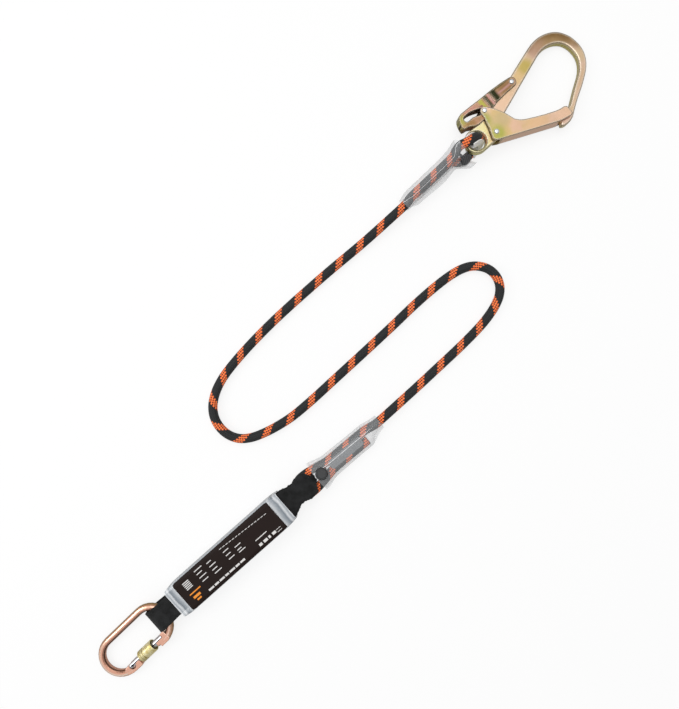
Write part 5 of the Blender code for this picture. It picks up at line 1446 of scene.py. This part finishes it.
@dataclass
class Studio:
    """Pale floor, soft light and the camera at the photograph's place."""

    lens: float = 30.47
    heading: float = -41.6
    camera_place: tuple = (0.2628, 0.0949, 0.7560)
    floor_colour: str = "#F4F4F4"
    floor_half: float = 3.0
    floor_drop: float = 0.0002
    floor_mirrored: str = "#BCBAB8"
    floor_glow: float = 0.8
    dome_strength: float = 0.95
    dome: tuple = ((0.0, "#9E9E9E"), (0.3, "#BCBCBC"), (0.6, "#DADADA"), (0.85, "#FFFFFF"))
    band_place: float = 0.68
    band_half: float = 0.34
    band_colour: str = "#272727"
    band_weight: float = 0.5
    lamps: tuple = (("overhead", (0.25, 0.35, 1.5), 1.4, 9.0), ("side", (-1.1, 0.8, 1.1), 0.7, 6.0))

    def build(self) -> None:
        """Make floor, world, lamps and camera."""
        self.floor()
        self.world()
        for name, place, size, energy in self.lamps:
            self.lamp(name, place, size, energy)
        self.camera()
        bpy.context.scene.view_settings.view_transform = "Standard"
        LOG.info("built the studio")

    @staticmethod
    def put(name: str, data: ID) -> Object:
        """Put a new object in the scene."""
        made = bpy.data.objects.new(name, data)
        bpy.context.scene.collection.objects.link(made)
        return made

    def floor(self) -> None:
        """A white floor that shows plain white to the camera and keeps a faint shadow."""
        half, low = self.floor_half, -self.floor_drop
        mesh = bpy.data.meshes.new("floor")
        corners = [(-half, -half, low), (half, -half, low), (half, half, low), (-half, half, low)]
        mesh.from_pydata(corners, [], [(0, 1, 2, 3)])
        look = Look("floor_white", self.floor_colour)
        look.finish({"Base Color": self.floor_colour, "Roughness": 0.9, "Specular IOR Level": 0.0})
        surface = Wire(look, look.tree.nodes["Principled BSDF"].outputs[0])
        seen = look.maths("MAXIMUM", look.add("LightPath", out="Is Camera Ray"),
                          look.add("LightPath", out="Is Transmission Ray"))
        glow = look.add("Emission", {"Color": WHITE, "Strength": 1.0})
        bright = look.add("MixShader", {0: seen * self.floor_glow, 1: surface, 2: glow})
        dim = look.add("Emission", {"Color": self.floor_mirrored, "Strength": 1.0})
        shown = look.add("MixShader", {0: look.add("LightPath", out="Is Glossy Ray"), 1: bright, 2: dim})
        look.feed(look.tree.nodes["Material Output"].inputs["Surface"], shown)
        mesh.materials.append(look.made)
        self.put("floor", mesh)

    def world(self) -> None:
        """An overcast dome, greyer towards the horizon, with a dark band for bright metal to show."""
        world = bpy.data.worlds.new("studio_dome")
        bpy.context.scene.world = world
        world.use_nodes = True
        graph = Graph(world.node_tree)
        way = graph.split(graph.add("TexCoord", out="Generated"))
        off_band = abs(way[1] + self.band_place)
        band = graph.span(off_band, self.band_half, self.band_half * 0.6, 0.0, self.band_weight)
        grey = graph.mix(band, graph.ramp(way[2], self.dome), self.band_colour)
        background = world.node_tree.nodes["Background"].inputs
        graph.feed(background["Color"], graph.mix(graph.add("LightPath", out="Is Camera Ray"), grey, WHITE))
        graph.feed(background["Strength"], self.dome_strength)

    def lamp(self, name: str, place: tuple, size: float, energy: float) -> None:
        """A soft square lamp that looks at the middle of the floor."""
        lamp = bpy.data.lights.new(name, "AREA")
        lamp.shape = "SQUARE"
        lamp.size = size
        lamp.energy = energy
        holder = self.put(name, lamp)
        holder.location = place
        holder.rotation_euler = (-Vector(place)).to_track_quat("-Z", "Y").to_euler()

    def camera(self) -> None:
        """The camera, straight above the lanyard and turned as in the photograph."""
        data = bpy.data.cameras.new("photo_camera")
        data.lens = self.lens
        data.sensor_width = 36.0
        data.clip_start = 0.01
        holder = self.put("photo_camera", data)
        holder.location = Vector(self.camera_place) + ORIGIN
        holder.rotation_euler = (0.0, 0.0, math.radians(self.heading))
        bpy.context.scene.camera = holder


def absorber_eye() -> SewnEye:
    """The eye that the absorber's webbing loops through, lying flat."""
    return SewnEye("absorber", bight_x=0.024, bight_r=0.0115, mouth_x=-0.096, sleeve_end_x=0.0085,
                   roll=((-0.096, 0.0), (0.03, 0.0)),
                   lift=((-0.096, 0.0084), (-0.030, 0.0084), (0.0, 0.0099), (0.03, 0.0099)),
                   skirt_lay=None, heading=178.2, mirrored=True, route_end=ROPE_ROUTE_MM[0])


def hook_eye() -> SewnEye:
    """The eye that holds the thimble and the hook, lying on its side."""
    return SewnEye("hook", bight_x=0.014, bight_r=0.0150, mouth_x=-0.0915, sleeve_end_x=0.0035,
                   roll=((-0.0915, 57.0), (-0.076, 92.0), (-0.014, 92.0), (-0.001, 57.0), (0.018, 74.5)),
                   lift=((-0.0875, 0.0112), (-0.072, 0.0138), (-0.040, 0.0138), (0.018, 0.0213)),
                   skirt_lay=-2.0, heading=1.6, mirrored=False, route_end=ROPE_ROUTE_MM[-1])


def build_rope_and_pack() -> None:
    """Build the soft pieces: rope, its two ends, the pack and its label."""
    sheath = BraidedSheath().material()
    vinyl = ClearPlastic().material()
    thread = BondedThread().material()
    length = FreeRope(sheath).build()
    SewnEnd(absorber_eye(), sheath, vinyl, thread, -0.0031, 1.2).build()
    SewnEnd(hook_eye(), sheath, vinyl, thread, length + 0.0006, 1.21).build()
    AbsorberPack(ShrinkFilm().material(), WovenWebbing().material()).build()
    ink = MouldedPlastic("label_ink", "#C9C7C5", "#E6E4E2").material()
    accent = MouldedPlastic("label_orange", "#E8811A", "#F29A2E").material()
    paper = MouldedPlastic("label_brown", "#1B110E", "#221613", 0.55, 1.5, 0.15).material()
    PrintedLabel(ink, accent, paper).build()


def dress_hardware(joints: list) -> None:
    """Give snaps, thimble, hook and karabiner their finishes."""
    snap = MouldedPlastic("snap_black", "#17181A", "#2A2B2D", 0.32, specular=0.6).material()
    dress(["snap_base_hook", "snap_cap_absorber", "snap_base_absorber"], snap)
    ribbed = MouldedPlastic("snap_ribbed", "#17181A", "#2A2B2D", 0.32, specular=0.6, ribs_mm=2.4).material()
    dress(["snap_cap_hook"], ribbed)
    dress(["thimble_hook"], MouldedPlastic("thimble_milky", "#D8D6D4", "#ECEAE8", 0.3).material(), 40.0)
    ScaffoldHook().build()
    Karabiner(next(Vector(j["pos_m"]) for j in joints if j["name"] == "karabiner_swing")).build()


def main() -> None:
    """Build the looks of every piece of the lanyard."""
    logging.basicConfig(level=logging.INFO, format="%(name)s: %(message)s")
    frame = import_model()
    Studio().build()
    build_rope_and_pack()
    dress_hardware(frame["joints"])


if __name__ == "__main__":
    main()
